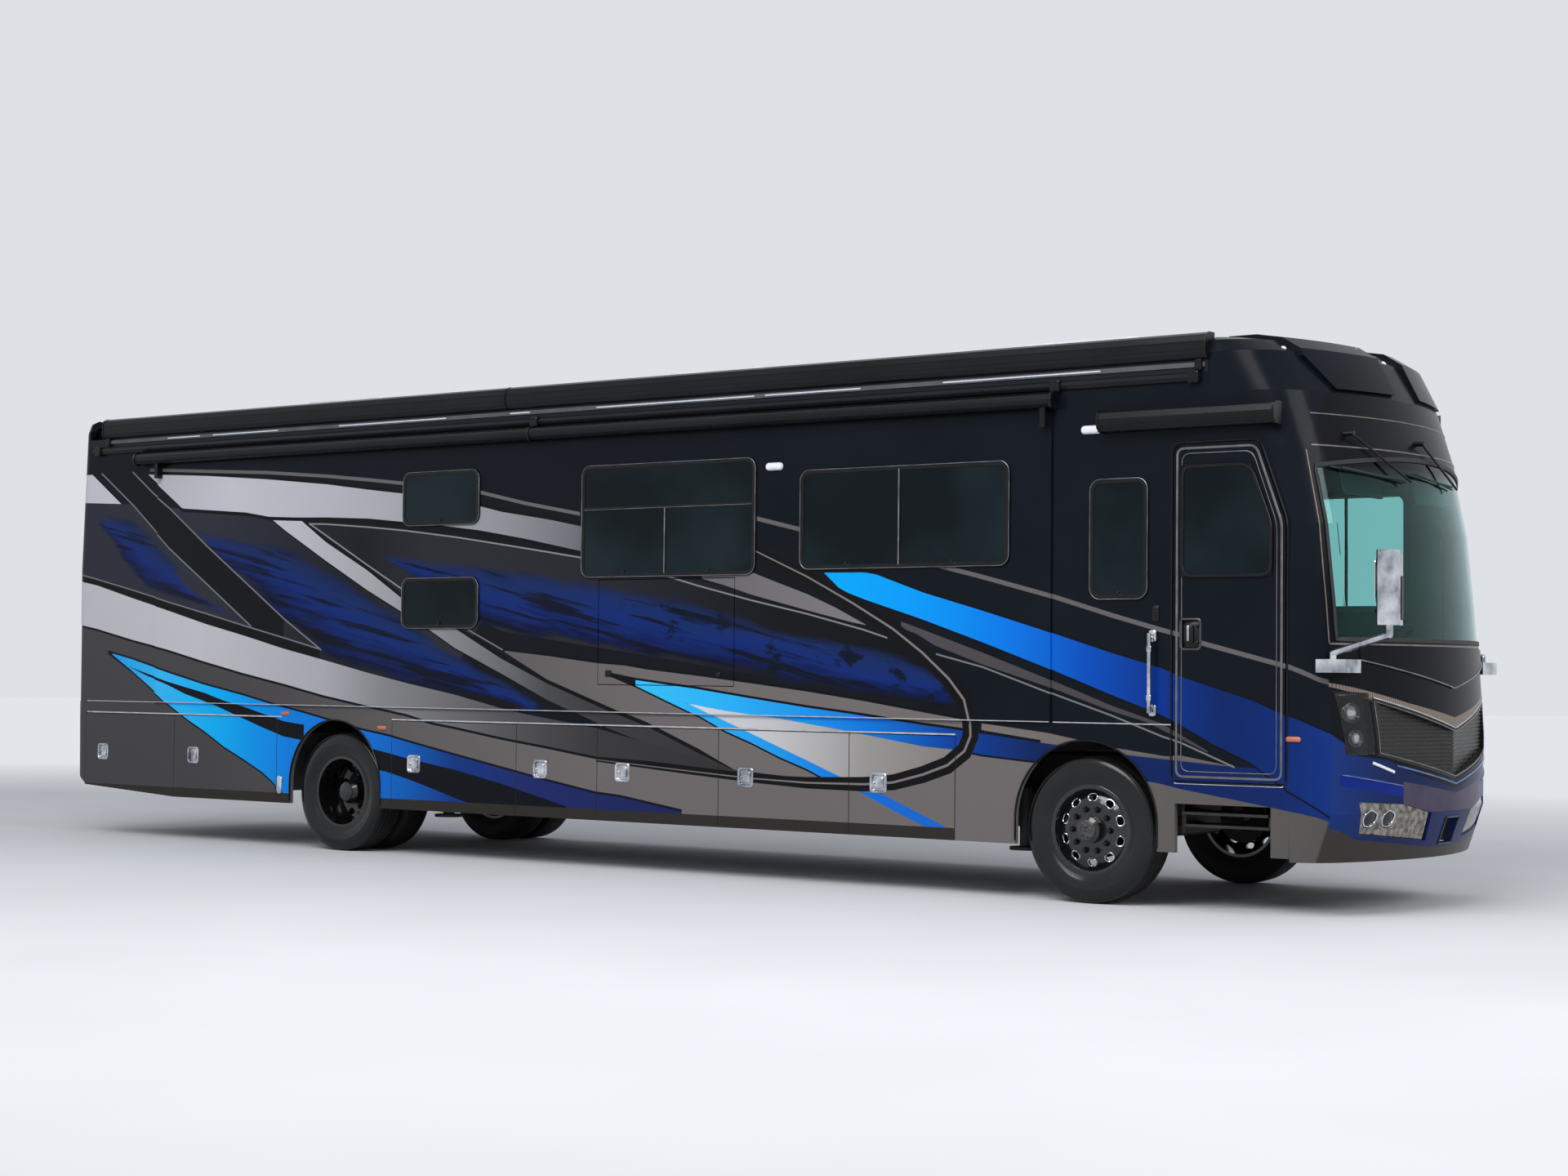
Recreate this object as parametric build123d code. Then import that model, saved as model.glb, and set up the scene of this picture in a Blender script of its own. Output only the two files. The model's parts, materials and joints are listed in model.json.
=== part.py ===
"""Full-size class A motorhome with a rear engine, two slide-out rooms and twin rear wheels.

Lengths are millimetres. The drawing frame has +X to the front, +Z up and the curb side at -Y,
with the ground at Z = 0. MOVE at the end of the sizes puts the middle of the whole at X = 0.
"""
from build123d import *
import os
from math import atan2, cos, pi, radians, sin, sqrt

# Bodywork
NOSE_X = 6350.0
TAIL_X = -6354.0
HALF_WIDTH = 1285.0
SKIRT_Z = 376.0
BELT_Z = 1100.0
EAVE_Z = 3500.0
ROOF_Z = 3722.0
CAP_TOP_Z = 3757.0
WALL = 50.0
SKIN = 45.0
DOOR_T = 40.0
SEAM = 7.0
SEAT = 0.3

# Running gear
FRONT_AXLE_X = 4295.0
WHEELBASE = 7168.0
TYRE_R = 490.0
TYRE_W = 280.0
RIM_R = 286.0
FRONT_WHEEL_Y = 1095.0
DUAL_OUTER_Y = 1090.0
DUAL_INNER_Y = 760.0
KINGPIN_Y = 950.0
SPINDLE_R = 40.0
REAR_SPINDLE_R = 60.0
ARCH_R = 540.0
ARCH_Z = 548.0

# Frame and floor
RAIL_Y = 390.0
RAIL_FLANGE = 80.0
RAIL_Z = 680.0
RAIL_H = 280.0
RAIL_T = 9.0
FLOOR_T = 30.0
PAN_Z = 400.0
PAN_T = 18.0
BULKHEAD_T = 20.0

# Caps: how far the plan of each is rounded
NOSE_CORNER = 360.0
NOSE_SWEEP = 2600.0
TAIL_CORNER = 110.0
TAIL_SWEEP = 12000.0
REAR_SEAM_X = -6130.0
FRONT_SEAM_X = 5768.0
ROOF_SEAM_X = 5190.0

# Doors in the skirt, from rear to front
CURB_SEAMS = (-6130.0, -4905.0, -3582.0, -2205.0, -828.0, 11.0, 1192.0, 2372.0, 3267.0)
STREET_SEAMS = (-6130.0, -4905.0, -3582.0, -2205.0, -828.0, 1192.0, 3267.0)
WHEEL_SEAM = -3582.0
TAPER_X = -4890.0
TAPER_Z = 448.0
LATCH_W, LATCH_H, LATCH_Z = 140.0, 136.0, 750.0
LATCH_INSET = 250.0
LATCH_DEPTH = 12.0
LATCH_CORNER = 24.0

# Slide-out rooms
SLIDE_Z = (1200.0, 3300.0)
CURB_SLIDE_X = (-5165.0, 4030.0)
STREET_SLIDE_X = (-350.0, 3550.0)
CURB_DEPTH = 690.0
STREET_DEPTH = 620.0
FLANGE_T = 16.0
FASCIA_PROUD = FLANGE_T + SEAT
FLANGE_LAP = 35.0
ROOM_GAP = 15.0
ROOM_T = 30.0
GLASS_T = 8.0
GLASS_LAP = 22.0

# Entry
DOOR_X = (4947.0, 5742.0)
DOOR_Z = (845.0, 3030.0)
DOOR_SLANT_Z = 2505.0
DOOR_SLANT_X = 5550.0
STEP_X = (4999.0, 5608.0)
STEP_OPENING_X = (4963.0, 5644.0)
STEP_OPENING_Z = 695.0

# Windscreen, glass outline at its edges
SCREEN_Y = 1150.0
SCREEN_Z = (1765.0, 2960.0)
SCREEN_ARCH = 90.0

# Mirrors and wipers
MIRROR_X = 6500.0
MIRROR_Y = 1425.0
MIRROR_Z = 2075.0
MIRROR_W, MIRROR_D, MIRROR_H = 210.0, 116.0, 460.0
BRACKET_X = 6020.0
BRACKET_Z = 1595.0

# Cab
WHEEL_X, WHEEL_Y, WHEEL_Z = 5570.0, 620.0, 1770.0
WHEEL_RING_R = 225.0
WHEEL_TILT = 32.0

# Outlines on the nose, (Y, Z) of the street side or across both
REBATE = 16.0
HEADLAMP = [(945, 1425), (1185, 1440), (1160, 1290), (1130, 1040), (905, 1030)]
GRILLE = [(-925, 1400), (-885, 1030), (0, 862), (885, 1030), (925, 1400), (0, 1197)]
INSERT = [(1035, 738), (630, 716), (330, 655), (300, 470), (985, 530)]
BROW = [(200, 3395), (845, 3385), (985, 3600), (985, 3900), (200, 3900)]
HOOD = [(-1000, 1634), (0, 1460), (1000, 1634), (1000, 1725), (-1000, 1725)]
PLATE_RECESS_Y, PLATE_RECESS_Z = (-100.0, 100.0), (450.0, 610.0)
BROW_PROUD = 24.0
HOOD_PROUD = 12.0
INSERT_IN = 14.0
FIT = 1.0

# Round lamps: (Y, Z, radius) of the two in each headlamp, and of the two fog lamps
HEADLIGHTS = ((1082.0, 1300.0, 64.0), (1058.0, 1140.0, 56.0))
FOGS = ((919.0, 628.0, 58.0), (759.0, 625.0, 58.0))
LAMP_BACK = 34.0
LAMP_FACE = 8.0
FOG_FACE = 22.0

# Grille: a surround that follows the nose and two flat faces that meet in a prow
SURROUND_W = 24.0
SURROUND_FACE = 4.0
SURROUND_DEPTH = SKIN + 40.0
PROW_X = 6335.0
PROW_EDGE_X, PROW_EDGE_Y = 6163.0, 960.0
MESH_T = 12.0
MESH_PITCH = 26.0
MESH_SLOT = 11.0
MESH_CUT = 6.0

# Rear hatch with its louvres, and the tail lamps
HATCH_Y = 640.0
HATCH_Z = (700.0, 1800.0)
HATCH_T = 40.0
JAMB = 25.0
JAMB_T = 14.0
TAIL_LAMP_X, TAIL_LAMP_Y = -6215.0, 1050.0
TAIL_LAMP_Z = (1200.0, 1900.0)
TAIL_LAMP_IN = 4.0
LOUVRES = 9
LOUVRE_Y, LOUVRE_Z = 500.0, 830.0
LOUVRE_PITCH, LOUVRE_H = 62.0, 26.0

# Windows of the walls and of the slide-out rooms, (X, Z) limits of the glass
GLASS_R, GLASS_HOLE_R = 75.0, 60.0
CURB_FIXED_WINDOW = ((4330.0, 4758.0), (2029.0, 2823.0))
DRIVER_WINDOW = ((4500.0, 5480.0), (2020.0, 2860.0))
BED_WINDOW = ((-5300.0, -4300.0), (2350.0, 2950.0))
BATH_WINDOW = ((-2600.0, -2050.0), (2450.0, 2950.0))
CURB_WINDOWS = (
    ((-147.0, 1529.0), (2239.0, 3092.0)), ((1943.0, 3704.0), (2267.0, 2978.0)),
    ((-2085.0, -1240.0), (2686.0, 3117.0)), ((-2085.0, -1240.0), (1852.0, 2255.0)),
)
STREET_WINDOWS = (((250.0, 1450.0), (2250.0, 2990.0)), ((1950.0, 3150.0), (2250.0, 2990.0)))
TV_X, TV_Z = (25.0, 1336.0), (1419.0, 2212.0)
TV_DEPTH = 130.0
TV_T = 30.0
STOP = 18.0
DOOR_GLASS = ((5005.0, 5650.0), (2165.0, 2894.0))
DOOR_GLASS_TOP = 5500.0
DOOR_HANDLE_X, DOOR_HANDLE_Z = (5002.0, 5142.0), (1700.0, 1890.0)
DOOR_HANDLE_R, DOOR_HANDLE_DEPTH = 20.0, 18.0

# Roof, awning boxes on its curb-side ledge, and what stands on top
LEDGE_Z = 3575.0
LEDGE_Y = 1195.0
FLAT_Y = 450.0
UNITS_X, UNIT_SIZE = (-3850.0, 350.0, 3650.0), (1050.0, 720.0, 190.0)
VENTS_X, VENT_SIZE = (-5350.0, -1600.0, 2000.0), (460.0, 460.0, 90.0)
AWNING_X = (-5916.0, -964.0, ROOF_SEAM_X - 2)
AWNING_OUT = 1322.0
AWNING_GAP = 2.0
RAIL_STRIP_X = (-6080.0, 5140.0)
ENTRY_AWNING_X = (4435.0, 5700.0)

# Roller of the cover over the curb room, and the runners under both rooms
ROLLER_R = 50.0
ROLLER_X = (-5394.0, 4060.0)
ROLLER_Z = 3368.0
ROLLER_ARM_X, ROLLER_ARM_Z = 40.0, 3190.0
RUNNER_W = 60.0
RUNNER_IN_Y = 760.0
CURB_RUNNERS = (-4900.0, -3300.0, -1700.0, -100.0, 1500.0, 3100.0, 3860.0)
STREET_RUNNERS = (-200.0, 1560.0, 3320.0)

# Frame: rails, crossmembers, floor bearers, tow tongues and the rear receiver
RAIL_X = (-6060.0, 5950.0)
CROSSMEMBERS = (-3900.0, -3350.0, -2250.0, -1200.0, 1200.0, 2200.0, 3450.0, 4900.0, 5850.0)
CROSS_T, CROSS_H = 60.0, 120.0
BEARERS = (-6090.0, -4905.0, -3582.0, -2205.0, -828.0, 1192.0, 2372.0, 3267.0, 4915.0)
BEARER_T = 40.0
BEARER_Y = 1230.0
RECEIVER, RECEIVER_WALL = 64.0, 6.4
RECEIVER_Z = 520.0
RECEIVER_X = TAIL_X + 30.0
HITCH_BAR_T = 80.0
HITCH_BAR_Z = 480.0
PIN_R = 8.2
PIN_FROM_END = 60.0
TONGUE_X, TONGUE_Y, TONGUE_T = (5890.0, 6080.0), (395.0, 465.0), 25.0
EYE_R, EYE_X = 20.0, 6040.0
BAY_IN_Y = 480.0

# Axles: kingpins, ears, arms and air springs
KINGPIN_R = 25.0
BOSS_R = 48.0
EAR_Z = (385.0, 415.0)
EAR_TOP_Z = (565.0, 595.0)
BLOCK_Y = (1002.0, 1030.0)
ARM_REACH = 330.0
ARM_TOP_Z, ARM_H = 560.0, 60.0
SPRING_R = 58.0
SPRING_FROM_AXLE = 240.0
HOLES = 10
HOLE_R = 218.0

# Seats, column, mirror arms, wipers and the grab handle
SEAT_PLACES = ((5010.0, 640.0), (4580.0, -640.0))
SEAT_FOOT_Z, CUSHION_TOP_Z = 1450.0, 1590.0
SEAT_LEAN = 14.0
COLUMN_R, COLUMN_LENGTH = 38.0, 560.0
MIRROR_ARM_R = 22.0
WIPERS = ((-870.0, -380.0, 3090.0), (-90.0, 400.0, 3075.0))
WIPER_TIP_Z = 2800.0
HANDLE_X, HANDLE_OUT = 4800.0, 55.0
HANDLE_Z, HANDLE_FEET = (1280.0, 1800.0), (1310.0, 1770.0)

CURB, STREET = -1, 1
REAR_AXLE_X = FRONT_AXLE_X - WHEELBASE
FLOOR_Z = BELT_Z + FLOOR_T
INNER_Y = HALF_WIDTH - WALL
HALF_SEAM = SEAM / 2

# Moving the drawing frame to the middle of the whole, mirrors included
MIRROR_FRONT = MIRROR_X + MIRROR_D / 2
MOVE = Pos(-(MIRROR_FRONT + TAIL_X) / 2, 0, 0)

# Height, reach and half width of each cap from its foot to its top
NOSE_PROFILE = (
    (353, 6240, 1285), (660, 6345, 1285), (1140, NOSE_X, 1285), (1620, 6318, 1285),
    (2000, 6288, 1285), (2500, 6235, 1285), (3000, 6130, 1285), (3360, 6015, 1285),
    (3625, 5865, 1280), (3705, 5735, 1250), (CAP_TOP_Z - 22, 5555, 1195),
)
TAIL_PROFILE = (
    (448, 6330, 1285), (1030, 6343, 1285), (2400, -TAIL_X, 1285),
    (3640, 6298, 1285), (3725, 6278, 1262), (CAP_TOP_Z, 6235, 1215),
)
SHOULDER_Z = 3600.0
NOSE_BACK_X = ROOF_SEAM_X - 300
TAIL_BACK_X = -REAR_SEAM_X - 300

os.makedirs("parts", exist_ok=True)


def save(name, *shapes):
    """Write one node, its solids apart in one file."""
    solids = [s for shape in shapes for s in shape.solids()]
    moved = [MOVE * s for s in solids]
    export_step(moved[0] if len(moved) == 1 else Compound(moved), f"parts/{name}.step")


def block(x, y, z):
    """Box between pairs of limits."""
    size = (x[1] - x[0], y[1] - y[0], z[1] - z[0])
    return Pos((x[0] + x[1]) / 2, (y[0] + y[1]) / 2, (z[0] + z[1]) / 2) * Box(*size)


def side(face, near, depth, hand):
    """Extrude an X-Z outline inwards from |Y| = near by depth, on one side of the coach."""
    top = near if hand == STREET else depth - near
    return Pos(0, top, 0) * extrude(Plane.XZ * face, depth)


def outline(*points):
    """Face with straight edges between points."""
    return make_face(Polyline(*points, close=True))


def panel(x, z, radius=0.0):
    """Rectangle between pairs of limits, its corners rounded."""
    width, height = x[1] - x[0], z[1] - z[0]
    shape = RectangleRounded(width, height, radius) if radius else Rectangle(width, height)
    return Pos((x[0] + x[1]) / 2, (z[0] + z[1]) / 2) * shape


def both(shape):
    """A curb-side shape and its twin on the street side."""
    return [shape, shape.mirror(Plane.XZ)]


def spin(points, axial=0.0, hand=CURB):
    """Revolve (radius, Y) points about the Y axis; hand says on which side the +Y of the list lies."""
    face = outline(*[(r, hand * (y + axial)) for r, y in points])
    return revolve(face, Axis.Y)


# The two caps
def cap_section(z, nose, half, corner, sweep, back):
    """Plan at one height: straight sides, two corner arcs and one wide arc across the end."""
    centre_x = nose - sweep
    cy = half - corner
    cx = centre_x + sqrt((sweep - corner) ** 2 - cy ** 2)
    reach = sweep / (sweep - corner)
    jx, jy = centre_x + (cx - centre_x) * reach, cy * reach
    middle = (pi / 2 + atan2(cy, cx - centre_x)) / 2
    mx, my = cx + corner * cos(middle), cy + corner * sin(middle)
    edges = [
        Line((back, -half), (cx, -half)),
        ThreePointArc((cx, -half), (mx, -my), (jx, -jy)),
        ThreePointArc((jx, -jy), (nose, 0), (jx, jy)),
        ThreePointArc((jx, jy), (mx, my), (cx, half)),
        Line((cx, half), (back, half)),
        Line((back, half), (back, -half)),
    ]
    return Pos(0, 0, z) * make_face(edges)


def cap_body(profile, corner, sweep, back, inset=0.0):
    """Loft through a cap's plans, all faces moved inwards by inset."""
    plans = []
    for z, nose, half in profile:
        level = z - inset if z > SHOULDER_Z else z
        plans.append(cap_section(level, nose - inset, half - inset, corner - inset,
                                 sweep - inset, back - inset))
    body = loft(plans, ruled=True)
    if inset > 0:
        foot_z, nose, half = profile[0]
        foot = cap_section(foot_z - 60, nose - inset, half - inset, corner - inset,
                           sweep - inset, back - inset)
        body += extrude(foot, 60)
    return body


def nose_body(inset=0.0):
    """The front cap's outer form, moved inwards by inset."""
    return cap_body(NOSE_PROFILE, NOSE_CORNER, NOSE_SWEEP, NOSE_BACK_X, inset)


def tail_body(inset=0.0):
    """The rear cap's outer form, moved inwards by inset."""
    body = cap_body(TAIL_PROFILE, TAIL_CORNER, TAIL_SWEEP, TAIL_BACK_X, inset)
    return body.mirror(Plane.YZ)


def front_prism(points, depth=(5900.0, 6500.0)):
    """A Y-Z outline carried along X."""
    face = make_face(Polyline(*points, close=True))
    return Pos(depth[0], 0, 0) * extrude(Plane.YZ * face, depth[1] - depth[0])


def shrink(points, gap):
    """Move each corner of an outline towards its middle by gap in both directions."""
    middle_y = sum(p[0] for p in points) / len(points)
    middle_z = sum(p[1] for p in points) / len(points)
    return [(y - gap if y > middle_y else y + gap, z - gap if z > middle_z else z + gap)
            for y, z in points]


NOSE = nose_body()
NOSE_INNER = nose_body(SKIN)
NOSE_REBATE = nose_body(REBATE)


def screen_outline(margin):
    """Windscreen outline, its top edge arched, moved outwards by margin."""
    y, low, high = SCREEN_Y + margin, SCREEN_Z[0] - margin, SCREEN_Z[1] + margin
    edges = [
        Line((-y, low), (y, low)), Line((y, low), (y, high - SCREEN_ARCH)),
        ThreePointArc((y, high - SCREEN_ARCH), (0, high), (-y, high - SCREEN_ARCH)),
        Line((-y, high - SCREEN_ARCH), (-y, low)),
    ]
    face = make_face(edges)
    return Pos(5200, 0, 0) * extrude(Plane.YZ * face, 1300)


# Front cap
seam_line = outline(
    (4800, 200), (FRONT_SEAM_X, 200), (FRONT_SEAM_X, DOOR_SLANT_Z + 12),
    (DOOR_SLANT_X + 30, 3075), (ROOF_SEAM_X, 3075), (ROOF_SEAM_X, 3900), (4800, 3900),
)
behind_seam = side(seam_line, 1400, 2800, STREET)

front_cap = NOSE - NOSE_INNER - behind_seam
front_cap -= screen_outline(-24)
front_cap -= screen_outline(0) & (NOSE - NOSE_REBATE)
for twin in (1, -1):
    front_cap -= front_prism([(twin * y, z) for y, z in HEADLAMP], (5700, 6500))
    front_cap -= front_prism([(twin * y, z) for y, z in INSERT])
front_cap -= front_prism(GRILLE)
front_cap -= block((6200, 6400), PLATE_RECESS_Y, PLATE_RECESS_Z)
for twin in (1, -1):
    front_cap += front_prism([(twin * y, z) for y, z in BROW], (ROOF_SEAM_X, 6500)) & (
        nose_body(-BROW_PROUD) - NOSE)
front_cap += front_prism(HOOD) & (nose_body(-HOOD_PROUD) - NOSE)
save("front_cap", front_cap)

windshield = screen_outline(-SEAT) & (nose_body(6) - nose_body(REBATE - SEAT))
save("windshield", windshield)


def prow(back):
    """Solid behind the two faces of the grille, moved back along X."""
    return Pos(0, 0, 700) * extrude(outline(
        (6000, -PROW_EDGE_Y), (PROW_EDGE_X - back, -PROW_EDGE_Y), (PROW_X - back, 0),
        (PROW_EDGE_X - back, PROW_EDGE_Y), (6000, PROW_EDGE_Y)), 800)


mesh_outline = shrink(GRILLE, SURROUND_W)
surround = front_prism(shrink(GRILLE, FIT)) - front_prism(mesh_outline)
surround &= nose_body(SURROUND_FACE) - nose_body(SURROUND_DEPTH)
mesh = front_prism(mesh_outline) & (prow(0) - prow(MESH_T))
mesh_low = min(z for y, z in GRILLE)
mesh_rows = int((max(z for y, z in GRILLE) - mesh_low) / MESH_PITCH)
slots = [block((6000, 6400), (-PROW_EDGE_Y, PROW_EDGE_Y),
               (mesh_low + (row + 0.5) * MESH_PITCH, mesh_low + (row + 0.5) * MESH_PITCH + MESH_SLOT))
         for row in range(mesh_rows)]
mesh -= [slot - prow(MESH_CUT) for slot in slots]
save("grille", surround + mesh)

FACE_BODY, BACK_BODY = nose_body(LAMP_FACE), nose_body(LAMP_BACK)
inserts, lights = [], []
for twin in (1, -1):
    pod = front_prism([(twin * y, z) for y, z in shrink(HEADLAMP, FIT)], (5700, 6500))
    pod &= BACK_BODY - NOSE_INNER
    for y, z, radius in HEADLIGHTS:
        barrel = Pos(5900, twin * y, z) * Rot(0, 90, 0) * Cylinder(radius, 1200)
        pod += barrel & (FACE_BODY - NOSE_INNER)
    lights.append(pod)
    insert = front_prism([(twin * y, z) for y, z in shrink(INSERT, FIT)])
    insert &= nose_body(INSERT_IN) - NOSE_INNER
    for y, z, radius in FOGS:
        hole = Pos(5900, twin * y, z) * Rot(0, 90, 0) * Cylinder(radius, 1200)
        lamp = Pos(5900, twin * y, z) * Rot(0, 90, 0) * Cylinder(radius - SEAT, 1200)
        lights.append(lamp & (nose_body(FOG_FACE) - NOSE_INNER))
        insert -= hole
    inserts.append(insert)
save("bumper_inserts", *inserts)
save("front_lamps", *lights)

# Rear cap with its hatch and lamps
TAIL = tail_body()
TAIL_INNER = tail_body(SKIN)
corner_cut = side(outline((-6500, 300), (-6500, 640), (-6354, 620), (-6110, TAPER_Z), (-6000, 300)),
                  1400, 2800, STREET)
rear_cap = TAIL - TAIL_INNER - corner_cut - block((REAR_SEAM_X, -5700), (-1400, 1400), (200, 3900))
rear_cap -= block((-6500, -6200), (-HATCH_Y, HATCH_Y), HATCH_Z)
jamb = block((-6500, -6200), (-HATCH_Y - JAMB, HATCH_Y + JAMB), (HATCH_Z[0] - JAMB, HATCH_Z[1] + JAMB))
jamb -= block((-6500, -6200), (JAMB - HATCH_Y, HATCH_Y - JAMB), (HATCH_Z[0] + JAMB, HATCH_Z[1] - JAMB))
rear_cap += jamb & (tail_body(HATCH_T + SEAT) - tail_body(HATCH_T + JAMB_T))
lamps = []
for twin in (1, -1):
    hole = block((-6400, TAIL_LAMP_X), sorted((twin * TAIL_LAMP_Y, twin * 1400)), TAIL_LAMP_Z)
    rear_cap -= hole
    lens = block((-6400, TAIL_LAMP_X - SEAT), sorted((twin * (TAIL_LAMP_Y + SEAT), twin * 1400)),
                 (TAIL_LAMP_Z[0] + SEAT, TAIL_LAMP_Z[1] - SEAT))
    lamps.append(lens & (tail_body(TAIL_LAMP_IN) - TAIL_INNER))
save("rear_cap", rear_cap)
save("tail_lamps", *lamps)

hatch = block((-6500, -6200), (SEAM - HATCH_Y, HATCH_Y - SEAM), (HATCH_Z[0] + SEAM, HATCH_Z[1] - SEAM))
hatch = hatch & (TAIL - tail_body(HATCH_T))
for row in range(LOUVRES):
    z = LOUVRE_Z + row * LOUVRE_PITCH
    hatch -= block((-6500, -6200), (-LOUVRE_Y, LOUVRE_Y), (z, z + LOUVRE_H))
save("engine_door", hatch)


# Side walls
def window_hole(x, z, hand, near):
    """Opening under a window's glass, smaller than the glass by its lap."""
    face = panel((x[0] + GLASS_LAP, x[1] - GLASS_LAP), (z[0] + GLASS_LAP, z[1] - GLASS_LAP),
                 GLASS_HOLE_R)
    return side(face, near + 5, WALL + 60, hand)


def window_glass(x, z, hand, near):
    """Pane laid on the outer face of a wall."""
    return side(panel(x, z, GLASS_R), near + GLASS_T, GLASS_T, hand)


def door_face(gap):
    """Entry door outline moved outwards by gap."""
    low_x, high_x = DOOR_X[0] - gap, DOOR_X[1] + gap
    low_z, high_z = DOOR_Z[0] - gap, DOOR_Z[1] + gap
    face = outline((low_x, low_z), (high_x, low_z), (high_x, DOOR_SLANT_Z + gap / 2),
                   (DOOR_SLANT_X + gap / 2, high_z), (low_x, high_z))
    corner = face.vertices().sort_by(Axis.Y)[-2:].sort_by(Axis.X)[0]
    return fillet(corner, 70 + gap)


wall_face = outline(
    (REAR_SEAM_X, BELT_Z), (FRONT_SEAM_X, BELT_Z), (FRONT_SEAM_X, DOOR_SLANT_Z + 12),
    (DOOR_SLANT_X + 30, 3075), (ROOF_SEAM_X, 3075), (ROOF_SEAM_X, EAVE_Z), (REAR_SEAM_X, EAVE_Z),
)


def slide_hole(x, hand):
    """Wall opening of a slide-out room, covered by the fascia's flange."""
    face = panel((x[0] + FLANGE_LAP, x[1] - FLANGE_LAP), (SLIDE_Z[0] + FLANGE_LAP, SLIDE_Z[1] - FLANGE_LAP))
    return side(face, HALF_WIDTH + 5, WALL + 10, hand)


curb_wall = side(wall_face, HALF_WIDTH, WALL, CURB)
curb_wall -= slide_hole(CURB_SLIDE_X, CURB)
curb_wall -= side(door_face(SEAM), HALF_WIDTH + 5, 5 + DOOR_T + SEAT, CURB)
curb_wall -= side(door_face(-STOP), HALF_WIDTH, WALL + 10, CURB)
curb_wall -= window_hole(*CURB_FIXED_WINDOW, CURB, HALF_WIDTH)
save("curb_wall", curb_wall)

street_wall = side(wall_face, HALF_WIDTH, WALL, STREET)
street_wall -= slide_hole(STREET_SLIDE_X, STREET)
street_windows = (DRIVER_WINDOW, BED_WINDOW, BATH_WINDOW)
for x, z in street_windows:
    street_wall -= window_hole(x, z, STREET, HALF_WIDTH)
save("street_wall", street_wall)
save("fixed_windows", window_glass(*CURB_FIXED_WINDOW, CURB, HALF_WIDTH),
     *[window_glass(x, z, STREET, HALF_WIDTH) for x, z in street_windows])


# Skirt pieces that don't open, with the wheel arches
def arch(x):
    """Wheel arch outline: a half circle on straight legs."""
    legs = panel((x - ARCH_R, x + ARCH_R), (0, ARCH_Z))
    return legs + Pos(x, ARCH_Z) * Circle(ARCH_R)


def skirt(x, hand, cuts):
    """Fixed lower panel between two stations, less the given outlines."""
    face = panel(x, (SKIRT_Z, BELT_Z))
    for cut in cuts:
        face -= cut
    return side(face, HALF_WIDTH, DOOR_T, hand)


REAR_SKIRT_X = (WHEEL_SEAM + HALF_SEAM, -2205.0 - HALF_SEAM)
FRONT_SKIRT_X = (3267.0 + HALF_SEAM, FRONT_SEAM_X)
step_hole = panel(STEP_OPENING_X, (0, STEP_OPENING_Z))
skirts = [
    skirt(REAR_SKIRT_X, CURB, [arch(REAR_AXLE_X)]),
    skirt(FRONT_SKIRT_X, CURB, [arch(FRONT_AXLE_X), door_face(SEAM), step_hole]),
    skirt(REAR_SKIRT_X, STREET, [arch(REAR_AXLE_X)]),
    skirt(FRONT_SKIRT_X, STREET, [arch(FRONT_AXLE_X)]),
]
save("side_skirts", *skirts)


def foot_z(x):
    """Height of the skirt's lower edge, which rises towards the tail."""
    if x >= TAPER_X:
        return SKIRT_Z
    return SKIRT_Z + (TAPER_Z - SKIRT_Z) * (TAPER_X - x) / (TAPER_X - REAR_SEAM_X)


def bay_doors(seams):
    """Limits of each luggage door between seams, skipping the wheel's own panel."""
    return [(low, high) for low, high in zip(seams, seams[1:]) if low != WHEEL_SEAM]


for name, seams, hand in (("curb", CURB_SEAMS, CURB), ("street", STREET_SEAMS, STREET)):
    for number, (low, high) in enumerate(bay_doors(seams), 1):
        x0, x1 = low + HALF_SEAM, high - HALF_SEAM
        face = outline((x0, foot_z(x0)), (x1, foot_z(x1)), (x1, BELT_Z - SEAM), (x0, BELT_Z - SEAM))
        door = side(face, HALF_WIDTH, DOOR_T, hand)
        middle = x0 + LATCH_INSET
        pocket = panel((middle - LATCH_W / 2, middle + LATCH_W / 2),
                       (LATCH_Z - LATCH_H / 2, LATCH_Z + LATCH_H / 2), LATCH_CORNER)
        door -= side(pocket, HALF_WIDTH + 1, LATCH_DEPTH + 1, hand)
        save(f"{name}_bay_door_{number}", door)

# Roof between the caps, with a ledge for the awnings on the curb side
roof_outer = make_face(Polyline(
    (-HALF_WIDTH, EAVE_Z), (-HALF_WIDTH, LEDGE_Z), (-LEDGE_Y, LEDGE_Z), (-LEDGE_Y, 3668),
    (-FLAT_Y, ROOF_Z), (FLAT_Y, ROOF_Z), (LEDGE_Y, 3680), (1262, 3650), (HALF_WIDTH, 3600),
    (HALF_WIDTH, EAVE_Z), (INNER_Y, EAVE_Z), (INNER_Y, 3560), (LEDGE_Y - 10, 3620),
    (FLAT_Y, ROOF_Z - WALL), (-FLAT_Y, ROOF_Z - WALL), (WALL - LEDGE_Y, 3610),
    (WALL - LEDGE_Y, LEDGE_Z - WALL), (-INNER_Y, LEDGE_Z - WALL), (-INNER_Y, EAVE_Z), close=True))
roof = Pos(REAR_SEAM_X, 0, 0) * extrude(Plane.YZ * roof_outer, ROOF_SEAM_X - REAR_SEAM_X)
save("roof", roof)

# Air conditioners, vents and a low dome on the flat of the roof
units = []
for places, (length, width, height), radius, taper in (
        (UNITS_X, UNIT_SIZE, 120, 12), (VENTS_X, VENT_SIZE, 60, 10)):
    shell = extrude(RectangleRounded(length, width, radius), height, taper=taper)
    units += [Pos(x, 0, ROOF_Z) * shell for x in places]
save("roof_units", *units)

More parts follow.
